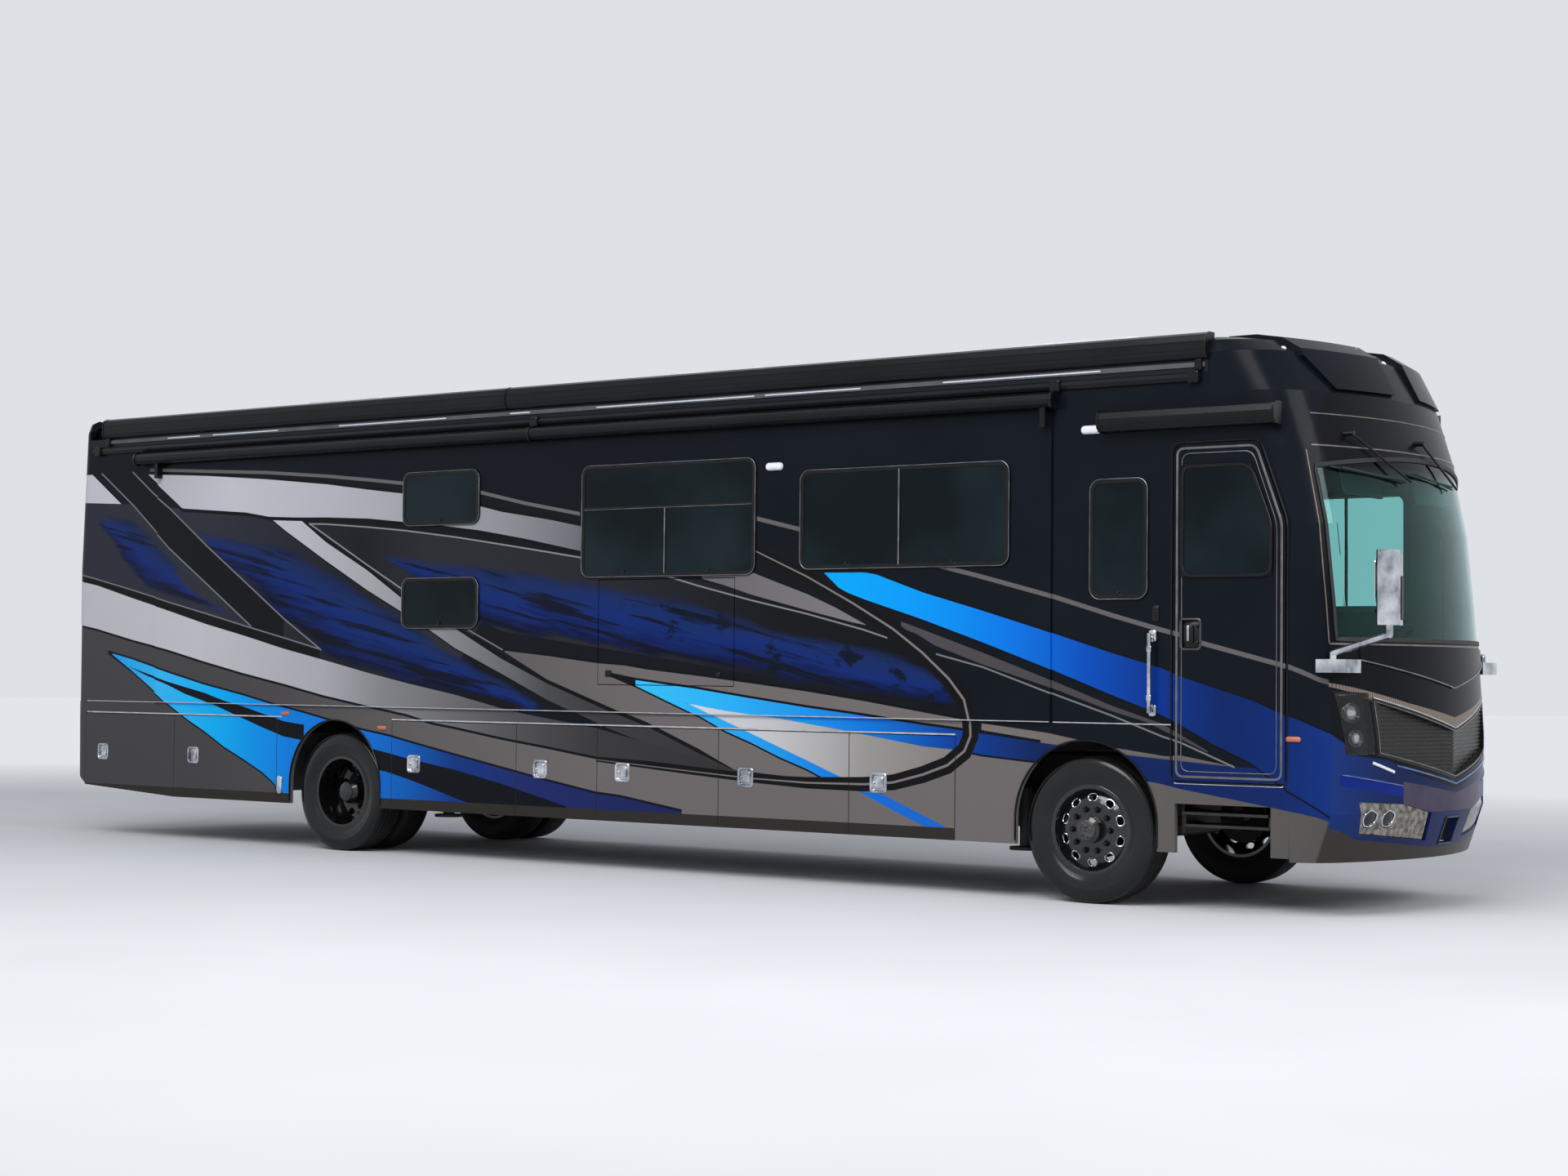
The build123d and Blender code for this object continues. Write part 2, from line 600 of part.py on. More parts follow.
# Patio awning boxes, their lower rail and the awning over the entry door
awning_face = make_face(Polyline(
    (-LEDGE_Y - SEAT, LEDGE_Z + SEAT), (-LEDGE_Y - SEAT, CAP_TOP_Z), (-1270, CAP_TOP_Z), (-1308, 3740),
    (-AWNING_OUT, 3700), (-AWNING_OUT, 3620), (-1306, 3590), (-HALF_WIDTH, LEDGE_Z + SEAT), close=True))
awnings = []
for low, high in zip(AWNING_X, AWNING_X[1:]):
    box = extrude(Plane.YZ * awning_face, high - low - 2 * AWNING_GAP)
    awnings.append(Pos(low + AWNING_GAP, 0, 0) * box)
rail_face = make_face(Polyline((-HALF_WIDTH, 3435), (-HALF_WIDTH, 3497), (-1303, 3490),
                               (-1315, 3466), (-1303, 3440), close=True))
awnings.append(Pos(RAIL_STRIP_X[0], 0, 0) * extrude(Plane.YZ * rail_face, RAIL_STRIP_X[1] - RAIL_STRIP_X[0]))
entry_awning = make_face(Polyline(
    (-HALF_WIDTH, 3130), (-HALF_WIDTH, 3271), (-1360, 3271), (-1388, 3255),
    (-1398, 3215), (-1388, 3165), (-1360, 3136), close=True))
awnings.append(Pos(ENTRY_AWNING_X[0], 0, 0) * extrude(
    Plane.YZ * entry_awning, ENTRY_AWNING_X[1] - ENTRY_AWNING_X[0]))
save("awnings", *awnings)


# Slide-out rooms
def slide_room(x, hand, depth, windows, near=HALF_WIDTH):
    """Outer fascia with a lapping flange, and the room's floor, ceiling and ends behind it."""
    outer = near + FASCIA_PROUD
    fascia = side(panel(x, SLIDE_Z), outer, FLANGE_T, hand)
    gap = FLANGE_LAP + ROOM_GAP
    room_x = (x[0] + gap, x[1] - gap)
    room_z = (SLIDE_Z[0] + gap, SLIDE_Z[1] - gap)
    solid = fascia + side(panel(room_x, room_z), outer, depth, hand)
    hollow = panel((room_x[0] + ROOM_T, room_x[1] - ROOM_T), (room_z[0] + ROOM_T, room_z[1] - ROOM_T))
    solid -= side(hollow, outer - WALL, depth, hand)
    for wx, wz in windows:
        solid -= window_hole(wx, wz, hand, outer)
    return solid


SLIDE_OUT_Y = HALF_WIDTH + FASCIA_PROUD

curb_slide = slide_room(CURB_SLIDE_X, CURB, CURB_DEPTH, CURB_WINDOWS)
niche = panel((TV_X[0] - 20, TV_X[1] + 20), (TV_Z[0] - 20, TV_Z[1] + 20))
curb_slide += side(niche, SLIDE_OUT_Y - WALL + 1, TV_DEPTH, CURB)
curb_slide -= side(panel((TV_X[0] - SEAM, TV_X[1] + SEAM), (TV_Z[0] - SEAM, TV_Z[1] + SEAM)),
                   SLIDE_OUT_Y + 5, 5 + TV_T + SEAT, CURB)
curb_slide -= side(panel((TV_X[0] + STOP, TV_X[1] - STOP), (TV_Z[0] + STOP, TV_Z[1] - STOP)),
                   SLIDE_OUT_Y, WALL + TV_DEPTH - 20, CURB)
save("curb_slide", curb_slide)
save("curb_slide_windows", *[window_glass(x, z, CURB, SLIDE_OUT_Y) for x, z in CURB_WINDOWS])
save("tv_door", side(panel(TV_X, TV_Z), SLIDE_OUT_Y, TV_T, CURB))

street_slide = slide_room(STREET_SLIDE_X, STREET, STREET_DEPTH, STREET_WINDOWS)
save("street_slide", street_slide)
save("street_slide_windows", *[window_glass(x, z, STREET, SLIDE_OUT_Y) for x, z in STREET_WINDOWS])

# Roller of the cover over the curb room, carried by plates on the fascia's ends
roller = Pos(ROLLER_X[0], -SLIDE_OUT_Y - ROLLER_R + 10, ROLLER_Z) * Rot(0, 90, 0) * Cylinder(
    ROLLER_R, ROLLER_X[1] - ROLLER_X[0], align=(Align.CENTER, Align.CENTER, Align.MIN))
arms = [block((x, x + ROLLER_ARM_X), (-SLIDE_OUT_Y - 60, -SLIDE_OUT_Y - SEAT), (ROLLER_ARM_Z, ROLLER_Z))
        for x in (CURB_SLIDE_X[0] + 20, CURB_SLIDE_X[1] - ROLLER_ARM_X - 20)]
save("curb_slide_topper", roller + arms[0] + arms[1])

# Entry door with its glass, and the sliding step
door = side(door_face(0), HALF_WIDTH, DOOR_T, CURB)


def door_glass(gap):
    """Window of the entry door, its upper front corner following the door's slant."""
    (x0, x1), (z0, z1) = DOOR_GLASS
    return outline((x0 + gap, z0 + gap), (x1 - gap, z0 + gap), (x1 - gap, DOOR_SLANT_Z),
                   (DOOR_GLASS_TOP - gap / 2, z1 - gap), (x0 + gap, z1 - gap))


door -= side(door_glass(GLASS_LAP), HALF_WIDTH + 5, WALL, CURB)
door -= side(panel(DOOR_HANDLE_X, DOOR_HANDLE_Z, DOOR_HANDLE_R), HALF_WIDTH + 1, DOOR_HANDLE_DEPTH + 1, CURB)
save("entry_door", door)
save("entry_door_glass", side(door_glass(0), HALF_WIDTH + GLASS_T, GLASS_T, CURB))

step = block(STEP_X, (-1250, -950), (625, 643)) + block(STEP_X, (-1225, -950), (544, 562))
for x in (STEP_X[0], STEP_X[1] - 10):
    step += block((x, x + 10), (-1215, -760), (544, 643))
save("entry_step", step)

# Floor of the cabin with the entry's stepwell and the step's runners
well_x = (DOOR_X[0] + 16, DOOR_X[1] - 98)
floor = block((REAR_SEAM_X + 30, FRONT_SEAM_X), (-INNER_Y, INNER_Y), (BELT_Z, FLOOR_Z))
floor += block((FRONT_SEAM_X, 6050), (-900, 900), (BELT_Z, FLOOR_Z))
floor -= block(well_x, (-INNER_Y - 1, -560), (BELT_Z - 1, FLOOR_Z + 1))
well = block((well_x[0] - 20, well_x[1] + 20), (-INNER_Y, -540), (815, BELT_Z))
well -= block(well_x, (-INNER_Y - 1, -560), (835, BELT_Z + 1))
runner_z = (500.0, 815.0 - SEAT)
cabin_floor = [floor, Pos(0, 0, -SEAT) * well]
for x in (STEP_X[0] - SEAT - 20, STEP_X[1] + SEAT):
    cabin_floor.append(block((x, x + 20), (-1215, -700), (runner_z[0], runner_z[1] - SEAT)))

# Runners that carry the slide-out rooms, in and out
room_foot = SLIDE_Z[0] + FLANGE_LAP + ROOM_GAP
for x in CURB_RUNNERS:
    cabin_floor.append(block((x, x + RUNNER_W), (-INNER_Y, -RUNNER_IN_Y), (FLOOR_Z + SEAT, room_foot - SEAT)))
for x in STREET_RUNNERS:
    cabin_floor.append(block((x, x + RUNNER_W), (RUNNER_IN_Y, INNER_Y), (FLOOR_Z + SEAT, room_foot - SEAT)))

# Frame: two channels, crossmembers between them, floor bearers on top and the rear receiver
rail_top = RAIL_Z + RAIL_H

channel = outline((0, 0), (RAIL_FLANGE, 0), (RAIL_FLANGE, RAIL_T), (RAIL_T, RAIL_T),
                  (RAIL_T, RAIL_H - RAIL_T), (RAIL_FLANGE, RAIL_H - RAIL_T),
                  (RAIL_FLANGE, RAIL_H), (0, RAIL_H))
rail = Pos(RAIL_X[0], RAIL_Y, RAIL_Z) * extrude(Plane.YZ * channel, RAIL_X[1] - RAIL_X[0])
tongue = block(TONGUE_X, TONGUE_Y, (RAIL_Z, RAIL_Z + TONGUE_T))
tongue -= Pos(EYE_X, sum(TONGUE_Y) / 2, RAIL_Z) * Cylinder(EYE_R, 4 * TONGUE_T)
chassis = both(rail + tongue)
for x in CROSSMEMBERS:
    chassis.append(block((x - CROSS_T / 2, x + CROSS_T / 2), (SEAT - RAIL_Y, RAIL_Y - SEAT),
                         (RAIL_Z, RAIL_Z + CROSS_H)))
for x in BEARERS:
    chassis.append(block((x - BEARER_T / 2, x + BEARER_T / 2), (-BEARER_Y, BEARER_Y),
                         (rail_top + SEAT, BELT_Z)))
hitch = block((RAIL_X[0], RAIL_X[0] + HITCH_BAR_T), (-RAIL_Y - RAIL_FLANGE, RAIL_Y + RAIL_FLANGE),
              (HITCH_BAR_Z, RAIL_Z - SEAT))
tube = RECEIVER / 2
bore = tube - RECEIVER_WALL
hitch += block((RECEIVER_X, RAIL_X[0]), (-tube, tube), (RECEIVER_Z - tube, RECEIVER_Z + tube))
hitch -= block((RECEIVER_X - 1, RAIL_X[0] - 20), (-bore, bore), (RECEIVER_Z - bore, RECEIVER_Z + bore))
hitch -= Pos(RECEIVER_X + PIN_FROM_END, 0, RECEIVER_Z) * Rot(90, 0, 0) * Cylinder(PIN_R, 3 * RECEIVER)
save("chassis_frame", *chassis, hitch)

# Luggage bays: flat pans and bulkheads hung under the floor bearers
BAY_OUT_Y = HALF_WIDTH - DOOR_T - SEAT
PAN_OUT_Y = BAY_OUT_Y - 5
pans, walls = [], []
for hand, seams in ((CURB, CURB_SEAMS), (STREET, STREET_SEAMS)):
    y = sorted((hand * BAY_IN_Y, hand * BAY_OUT_Y))
    for low, high in ((REAR_SEAM_X + 60, WHEEL_SEAM), (-2205.0, 3267.0)):
        pan_z = PAN_Z + (TAPER_Z - SKIRT_Z if low < TAPER_X else 0)
        pans.append(block((low, high), sorted((hand * BAY_IN_Y, hand * PAN_OUT_Y)), (pan_z, pan_z + PAN_T)))
    for x in seams:
        if x == REAR_SEAM_X:
            x = REAR_SEAM_X + 70
        pan_z = PAN_Z + (TAPER_Z - SKIRT_Z if x < -3000 else 0)
        centre = x + BULKHEAD_T / 2 if x in (REAR_SEAM_X + 70, -2205.0) else x
        centre = x - BULKHEAD_T / 2 if x in (WHEEL_SEAM, 3267.0) else centre
        top = rail_top - SEAT if x in BEARERS else BELT_Z - SEAT
        walls.append(block((centre - BULKHEAD_T / 2, centre + BULKHEAD_T / 2), y,
                           (pan_z + PAN_T + SEAT, top)))
save("baggage_bays", *pans, *walls)


# Wheels
def at_axle(shape, x):
    """Lift a wheel-centred shape to an axle."""
    return Pos(x, 0, TYRE_R) * shape


# Half of a tyre's section, (radius, distance from its middle plane)
TYRE_HALF = (
    (RIM_R + SEAT, 104), (RIM_R + 19, 104), (RIM_R + 104, TYRE_W / 2), (TYRE_R - 26, 124),
    (TYRE_R, 100),
)


def tyre(centre_y, hand):
    """Tyre revolved about Y, its bulge and shoulder as cones."""
    y = hand * centre_y
    section = [(r, y + w) for r, w in TYRE_HALF] + [(r, y - w) for r, w in reversed(TYRE_HALF)]
    return revolve(outline(*section), Axis.Y)


HUB_BORE = SPINDLE_R + SEAT
FRONT_RIM = [
    (0, 165), (58, 162), (88, 148), (92, 96), (190, 92), (214, 84), (262, 58), (274, 112),
    (303, 112), (303, 105.3), (RIM_R, 105.3), (RIM_R, -105.3), (303, -105.3), (303, -112),
    (274, -112), (262, 38), (206, 70), (186, 78), (125, 78), (125, -20), (HUB_BORE, -20),
    (HUB_BORE, 100), (0, 100),
]
DUAL_BORE = REAR_SPINDLE_R + SEAT
DUAL_RIM = [
    (0, 1150), (72, 1146), (100, 1110), (112, 1000), (118, 945), (196, 945), (240, 968),
    (262, 1000), (274, 1202), (303, 1202), (303, 1195.3), (RIM_R, 1195.3), (RIM_R, 984.7),
    (303, 984.7), (303, 978), (278, 978), (246, 950), (204, 925), (246, 900), (278, 872),
    (303, 872), (303, 865.3), (RIM_R, 865.3), (RIM_R, 654.7), (303, 654.7), (303, 648),
    (274, 648), (262, 850), (240, 882), (196, 905), (135, 905), (135, 720), (DUAL_BORE, 720),
    (DUAL_BORE, 1020), (0, 1020),
]


def hand_holes(rim, y, hand):
    """Ring of long holes through the disc of a rim."""
    hole = Pos(HOLE_R, 0, 0) * RectangleRounded(44, 62, 21)
    ring = Sketch() + [Rot(0, 0, 360 / HOLES * (n + 0.5)) * hole for n in range(HOLES)]
    cutter = extrude(Plane.XZ * ring, 180, both=True)
    return rim - Pos(0, hand * y, 0) * cutter


for name, hand in (("curb", CURB), ("street", STREET)):
    rim = spin(FRONT_RIM, FRONT_WHEEL_Y, hand)
    save(f"front_rim_{name}", at_axle(hand_holes(rim, FRONT_WHEEL_Y, hand), FRONT_AXLE_X))
    save(f"front_tyre_{name}", at_axle(tyre(FRONT_WHEEL_Y, hand), FRONT_AXLE_X))
    duals = hand_holes(spin(DUAL_RIM, 0, hand), 925, hand)
    save(f"rear_rims_{name}", at_axle(duals, REAR_AXLE_X))
    save(f"rear_tyres_{name}", at_axle(tyre(DUAL_OUTER_Y, hand), REAR_AXLE_X),
         at_axle(tyre(DUAL_INNER_Y, hand), REAR_AXLE_X))

# Knuckles: kingpin between two ears, spindle and brake plate
for name, hand in (("curb", CURB), ("street", STREET)):
    pin = Pos(0, hand * KINGPIN_Y, EAR_Z[0]) * Cylinder(
        KINGPIN_R, EAR_TOP_Z[1] - EAR_Z[0], align=(Align.CENTER, Align.CENTER, Align.MIN))
    knuckle = pin + block((-62, 62), sorted((hand * BLOCK_Y[0], hand * BLOCK_Y[1])),
                          (EAR_Z[0], EAR_TOP_Z[1]))
    for low, high in (EAR_Z, EAR_TOP_Z):
        ear = Pos(0, hand * KINGPIN_Y, low) * extrude(Circle(52), high - low)
        ear += block((-52, 52), sorted((hand * KINGPIN_Y, hand * BLOCK_Y[0])), (low, high))
        knuckle += ear
    spindle = [(0, BLOCK_Y[1] - 2), (190, BLOCK_Y[1] - 2), (190, 1044), (SPINDLE_R + 14, 1052),
               (SPINDLE_R, 1060), (SPINDLE_R, FRONT_WHEEL_Y + 100 - SEAT), (0, FRONT_WHEEL_Y + 100 - SEAT)]
    knuckle += Pos(0, 0, TYRE_R) * spin(spindle, 0, hand)
    save(f"knuckle_{name}", Pos(FRONT_AXLE_X, 0, 0) * knuckle)

# Front axle beam with kingpin bosses, and the rear axle with its final drive
beam_face = outline((-905, 435), (-700, 435), (-560, 400), (560, 400), (700, 435), (905, 435),
                    (905, 545), (640, 545), (520, 500), (-520, 500), (-640, 545), (-905, 545))
front_axle = Pos(-42, 0, 0) * extrude(Plane.YZ * beam_face, 84)
for hand in (CURB, STREET):
    front_axle += Pos(0, hand * KINGPIN_Y, 430) * extrude(Circle(BOSS_R), 120)
    front_axle -= Pos(0, hand * KINGPIN_Y, 420) * extrude(Circle(KINGPIN_R + SEAT), 140)
ARM_Y = (RAIL_Y - 5, RAIL_Y + RAIL_FLANGE + 5)
for hand in (CURB, STREET):
    front_axle += block((-ARM_REACH, ARM_REACH), sorted((hand * ARM_Y[0], hand * ARM_Y[1])),
                        (ARM_TOP_Z - ARM_H, ARM_TOP_Z))
save("front_axle", Pos(FRONT_AXLE_X, 0, 0) * front_axle)

housing = [(0, -600), (80, -600), (80, -240), (200, -140), (215, 0),
           (200, 140), (80, 240), (80, 600), (0, 600)]
rear_axle = spin(housing, 0, STREET)
stub = [(0, 590), (80, 590), (80, 640), (REAR_SPINDLE_R, 700),
        (REAR_SPINDLE_R, 1020 - SEAT), (0, 1020 - SEAT)]
rear_axle += spin(stub, 0, STREET)
rear_axle += spin(stub, 0, CURB)
rear_axle += Pos(-300, 0, 0) * Rot(0, 90, 0) * Cylinder(95, 300)
for hand in (CURB, STREET):
    rear_axle += block((-ARM_REACH, ARM_REACH), sorted((hand * ARM_Y[0], hand * ARM_Y[1])),
                       (ARM_TOP_Z - ARM_H - TYRE_R, ARM_TOP_Z - TYRE_R))
save("rear_axle", at_axle(rear_axle, REAR_AXLE_X))

# Air springs between the axle arms and the underside of the rails
spring_h = RAIL_Z - ARM_TOP_Z - 2 * SEAT
springs = []
for axle_x in (FRONT_AXLE_X, REAR_AXLE_X):
    for dx in (-SPRING_FROM_AXLE, SPRING_FROM_AXLE):
        bag = Pos(axle_x + dx, -RAIL_Y - RAIL_FLANGE / 2, ARM_TOP_Z + SEAT)
        springs += both(bag * extrude(Circle(SPRING_R), spring_h))
save("air_springs", *springs)

# Engine, gearbox and propeller shaft, then the units under the floor
engine = block((-5950, -4750), (SEAT - RAIL_Y, RAIL_Y - SEAT), (480, rail_top - SEAT))
engine += Pos(-4760, 0, 640) * Rot(0, 90, 0) * Cylinder(
    190, 640, align=(Align.CENTER, Align.CENTER, Align.MIN))
shaft_start = Vector(-4130, 0, 640)
shaft_end = Vector(REAR_AXLE_X - 450 - SEAT, 0, TYRE_R)
run = shaft_end - shaft_start
engine += Plane(origin=shaft_start, z_dir=run) * extrude(Circle(48), run.length - 10)
save("engine_and_shaft", engine)

jack = Pos(0, 0, 300) * extrude(Circle(48), 420) + Pos(0, 0, 280) * extrude(Circle(120), 22)
jack_y = RAIL_Y + RAIL_FLANGE + 48 + SEAT
jacks = []
for x in (-2290.0, 3380.0):
    jacks += both(Pos(x, -jack_y, 0) * jack)
fuel = block((2430, 3210), (SEAT - RAIL_Y, RAIL_Y - SEAT), (430, 900))
water = block((-700, 900), (SEAT - RAIL_Y, RAIL_Y - SEAT), (520, BELT_Z - SEAT))
save("tanks_and_jacks", fuel, water, *jacks)

# Dash, steering column and wheel, seats
dash_face = outline((5880, FLOOR_Z), (5880, 1430), (5790, 1560), (5830, 1690), (5960, 1730),
                    (6400, 1730), (6400, 1480), (6050, 1480), (6050, FLOOR_Z))
dash = side(dash_face, 1120, 2240, STREET) & nose_body(SKIN + 2)
tilt = radians(WHEEL_TILT)
COLUMN = Vector(-sin(tilt), 0, cos(tilt))
hub = Vector(WHEEL_X, WHEEL_Y, WHEEL_Z)
wheel_plane = Plane(origin=hub, x_dir=(0, 1, 0), z_dir=COLUMN)
column = wheel_plane * Pos(0, 0, -30 - SEAT - COLUMN_LENGTH) * extrude(Circle(COLUMN_R), COLUMN_LENGTH)
dash += column - block((4000, 7000), (-1300, 1300), (0, FLOOR_Z))
save("dashboard", dash)

steering = wheel_plane * Torus(WHEEL_RING_R, 15)
steering += wheel_plane * Pos(0, 0, -30) * extrude(Circle(52), 50)
for angle in (0, 120, 240):
    spoke = Rot(0, 0, angle + 90) * Pos(WHEEL_RING_R / 2, 0, -8) * Box(WHEEL_RING_R - 10, 34, 14)
    steering += wheel_plane * spoke
save("steering_wheel", steering)

cushions = []
for x, y in SEAT_PLACES:
    cabin_floor.append(block((x - 190, x + 190), (y - 190, y + 190), (FLOOR_Z + SEAT, SEAT_FOOT_Z)))
    cushions.append(block((x - 250, x + 270), (y - 260, y + 260), (SEAT_FOOT_Z + SEAT, CUSHION_TOP_Z)))
    back = Pos(x - 270, y, 1480) * Rot(0, -SEAT_LEAN, 0) * Pos(0, 0, 360) * Box(120, 500, 720)
    back -= block((x - 249, x + 400), (y - 400, y + 400), (1300, CUSHION_TOP_Z + 10))
    cushions.append(back)
save("cabin_floor", *cabin_floor)
save("cab_seats", *cushions)

# Mirrors on chromed arms; the street-side arm is folded back
mirrors = []
for hand, fold in ((CURB, 1), (STREET, -1)):
    foot = Vector(BRACKET_X, hand * 1215, BRACKET_Z)
    head_x = BRACKET_X + fold * (MIRROR_X - BRACKET_X)
    head = Vector(head_x, hand * MIRROR_Y, MIRROR_Z)
    elbow = Vector(head.X, head.Y, MIRROR_Z - MIRROR_H / 2 - 60)
    shoulder = Vector(foot.X + 25, foot.Y - hand * 5 + hand * 30, BRACKET_Z + 80)
    run = elbow - shoulder
    mirror = Plane(origin=shoulder, z_dir=run) * extrude(Circle(MIRROR_ARM_R), run.length)
    mirror += Pos(*elbow) * Sphere(MIRROR_ARM_R) + Pos(*elbow) * extrude(Circle(MIRROR_ARM_R), 70)
    mirror += Pos(*shoulder) * Sphere(MIRROR_ARM_R)
    mirror += Pos(shoulder.X, shoulder.Y, BRACKET_Z) * extrude(Circle(MIRROR_ARM_R), 80)
    bracket = block((BRACKET_X - 75, BRACKET_X + 115),
                    sorted((hand * 1020, hand * (1215 + 62))), (BRACKET_Z - 42, BRACKET_Z + 42))
    mirror += bracket
    mirror -= nose_body(-SEAT)
    shell = Pos(*head) * extrude(RectangleRounded(MIRROR_D, MIRROR_W, 50), MIRROR_H / 2, both=True)
    mirror += shell
    mirrors.append(mirror.solids().sort_by(SortBy.VOLUME)[-1])
save("mirrors", *mirrors)

# Wipers hang from posts above the glass
wipers = []
for y, tip_y, post_z in WIPERS:
    surface_x = NOSE_X - 262 - (NOSE_SWEEP - sqrt(NOSE_SWEEP ** 2 - y ** 2))
    tip_x = NOSE_X - 170 - (NOSE_SWEEP - sqrt(NOSE_SWEEP ** 2 - tip_y ** 2))
    post = Pos(surface_x - 60, y, post_z) * Rot(0, 90, 0) * Cylinder(
        17, 140, align=(Align.CENTER, Align.CENTER, Align.MIN))
    start = Vector(surface_x + 62, y, post_z)
    end = Vector(tip_x + 45, tip_y, WIPER_TIP_Z)
    run = end - start
    arm = Plane(origin=start, z_dir=run) * extrude(Circle(8), run.length)
    wiper = post + Pos(*start) * Sphere(18) + arm - nose_body(-SEAT)
    wipers.append(wiper.solids().sort_by(SortBy.VOLUME)[-1])
save("wipers", *wipers)

# Grab handle beside the door
handle = Pos(HANDLE_X, -HALF_WIDTH - HANDLE_OUT, HANDLE_Z[0]) * extrude(Circle(14), HANDLE_Z[1] - HANDLE_Z[0])
for z in HANDLE_FEET:
    handle += Pos(HANDLE_X, -HALF_WIDTH, z) * Rot(90, 0, 0) * Cylinder(
        12, HANDLE_OUT, align=(Align.CENTER, Align.CENTER, Align.MIN))
save("grab_handle", handle)
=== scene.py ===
"""Motorhome dressed for the camera. Metres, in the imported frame: +X to the front, curb side at -Y."""
import bmesh
import bpy
import json
import numpy as np
from math import cos, pi, radians, sin
from mathutils import Matrix, Vector


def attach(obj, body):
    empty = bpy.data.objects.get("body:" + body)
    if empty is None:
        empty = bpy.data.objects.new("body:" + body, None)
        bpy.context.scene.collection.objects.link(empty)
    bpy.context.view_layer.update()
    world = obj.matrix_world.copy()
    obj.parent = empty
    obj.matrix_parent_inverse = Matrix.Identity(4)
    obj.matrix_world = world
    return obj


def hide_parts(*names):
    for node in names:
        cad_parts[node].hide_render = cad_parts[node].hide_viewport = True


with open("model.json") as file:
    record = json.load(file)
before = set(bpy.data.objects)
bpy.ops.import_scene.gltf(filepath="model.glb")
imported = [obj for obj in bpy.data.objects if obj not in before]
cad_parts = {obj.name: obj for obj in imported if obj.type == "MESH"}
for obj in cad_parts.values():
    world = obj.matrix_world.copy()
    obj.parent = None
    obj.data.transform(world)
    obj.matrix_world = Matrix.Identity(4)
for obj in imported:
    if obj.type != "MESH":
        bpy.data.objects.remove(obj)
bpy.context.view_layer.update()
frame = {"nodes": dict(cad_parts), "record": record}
NODES = frame["nodes"]

# Outlines below are written with the nose at X = 6.35. NOSE_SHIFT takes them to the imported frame
NOSE_SHIFT = -0.102
# Distances of the walls' and the closed rooms' outer faces from the centre line
HALF = 1.285
SLIDE_FACE = 1.3013
FRONT_AXLE, WHEELBASE, HUB_Z = 4.295, 7.168, 0.490
AXLES = {"front": FRONT_AXLE + NOSE_SHIFT, "rear": FRONT_AXLE - WHEELBASE + NOSE_SHIFT}
CURB, STREET = -1, 1
HANDS = {"curb": CURB, "street": STREET}


# Surfaces as arrays
def lattice(points, around=False, along=False, ends=False):
    """Quads between neighbours of a grid of points, which may close around or along, or end in flat caps."""
    rows, cols = points.shape[:2]
    r = np.arange(rows if along else rows - 1)[:, None]
    c = np.arange(cols if around else cols - 1)[None, :]
    r2, c2 = (r + 1) % rows, (c + 1) % cols
    quads = np.stack([r * cols + c, r * cols + c2, r2 * cols + c2, r2 * cols + c], axis=-1).reshape(-1, 4)
    faces = quads.tolist()
    if ends:
        faces += [list(range(cols))[::-1], list(range((rows - 1) * cols, rows * cols))]
    return points.reshape(-1, 3), faces


def rounded(width, height, radius, steps=6):
    """Rectangle about 0 whose corners are quarter circles: centre + radius * (cos t, sin t)."""
    t = np.linspace(0, pi / 2, steps)
    signs = ((1, 1), (-1, 1), (-1, -1), (1, -1))
    corners = [np.stack([sx * (width / 2 - radius) + radius * np.cos(t + k * pi / 2),
                         sz * (height / 2 - radius) + radius * np.sin(t + k * pi / 2)], axis=1)
               for k, (sx, sz) in enumerate(signs)]
    return np.concatenate(corners)


def on_side(flat, out, hand, face=HALF):
    """Points (x, z) of a side elevation at a distance out from the coach's face, nose-frame X moved."""
    y = np.broadcast_to(hand * (face + out), flat.shape[:-1])
    return np.stack([flat[..., 0] + NOSE_SHIFT, y, flat[..., 1]], axis=-1)


def tube(path, section, closed=False, up=(0, 1, 0)):
    """A section of (side, rise) pairs carried along a path, side = tangent x up, rise = side x tangent."""
    ahead = np.roll(path, -1, 0) - np.roll(path, 1, 0)
    if not closed:
        ahead[0], ahead[-1] = path[1] - path[0], path[-1] - path[-2]
    ahead /= np.linalg.norm(ahead, axis=1)[:, None]
    across = np.cross(ahead, up)
    across /= np.linalg.norm(across, axis=1)[:, None]
    rise = np.cross(across, ahead)
    points = path[:, None] + across[:, None] * section[None, :, :1] + rise[:, None] * section[None, :, 1:]
    return lattice(points, around=True, along=closed, ends=not closed)


def wire(radius):
    """Section of a round wire with eight sides: radius * (cos t, sin t)."""
    t = np.arange(8) * pi / 4
    return radius * np.stack([np.cos(t), np.sin(t)], axis=1)


def bar(width, height):
    """Flat bar section with chamfered edges."""
    c = min(width, height) * 0.25
    w, h = width / 2, height / 2
    return np.array([(-w, c - h), (c - w, -h), (w - c, -h), (w, c - h),
                     (w, h - c), (w - c, h), (c - w, h), (-w, h - c)])


def turned(profile, centre, axis, count):
    """Profile of (radius, distance along the axis) turned about an axis through centre."""
    profile = np.asarray(profile, float)
    axis = np.asarray(axis, float) / np.linalg.norm(axis)
    side = np.cross(axis, (0, 0, 1) if abs(axis[2]) < 0.9 else (1, 0, 0))
    side /= np.linalg.norm(side)
    rise = np.cross(axis, side)
    t = np.arange(count) * 2 * pi / count
    ring = np.cos(t)[:, None] * side + np.sin(t)[:, None] * rise
    points = np.asarray(centre) + profile[:, None, :1] * ring[None] + profile[:, None, 1:] * axis
    return lattice(points, around=True, ends=True)


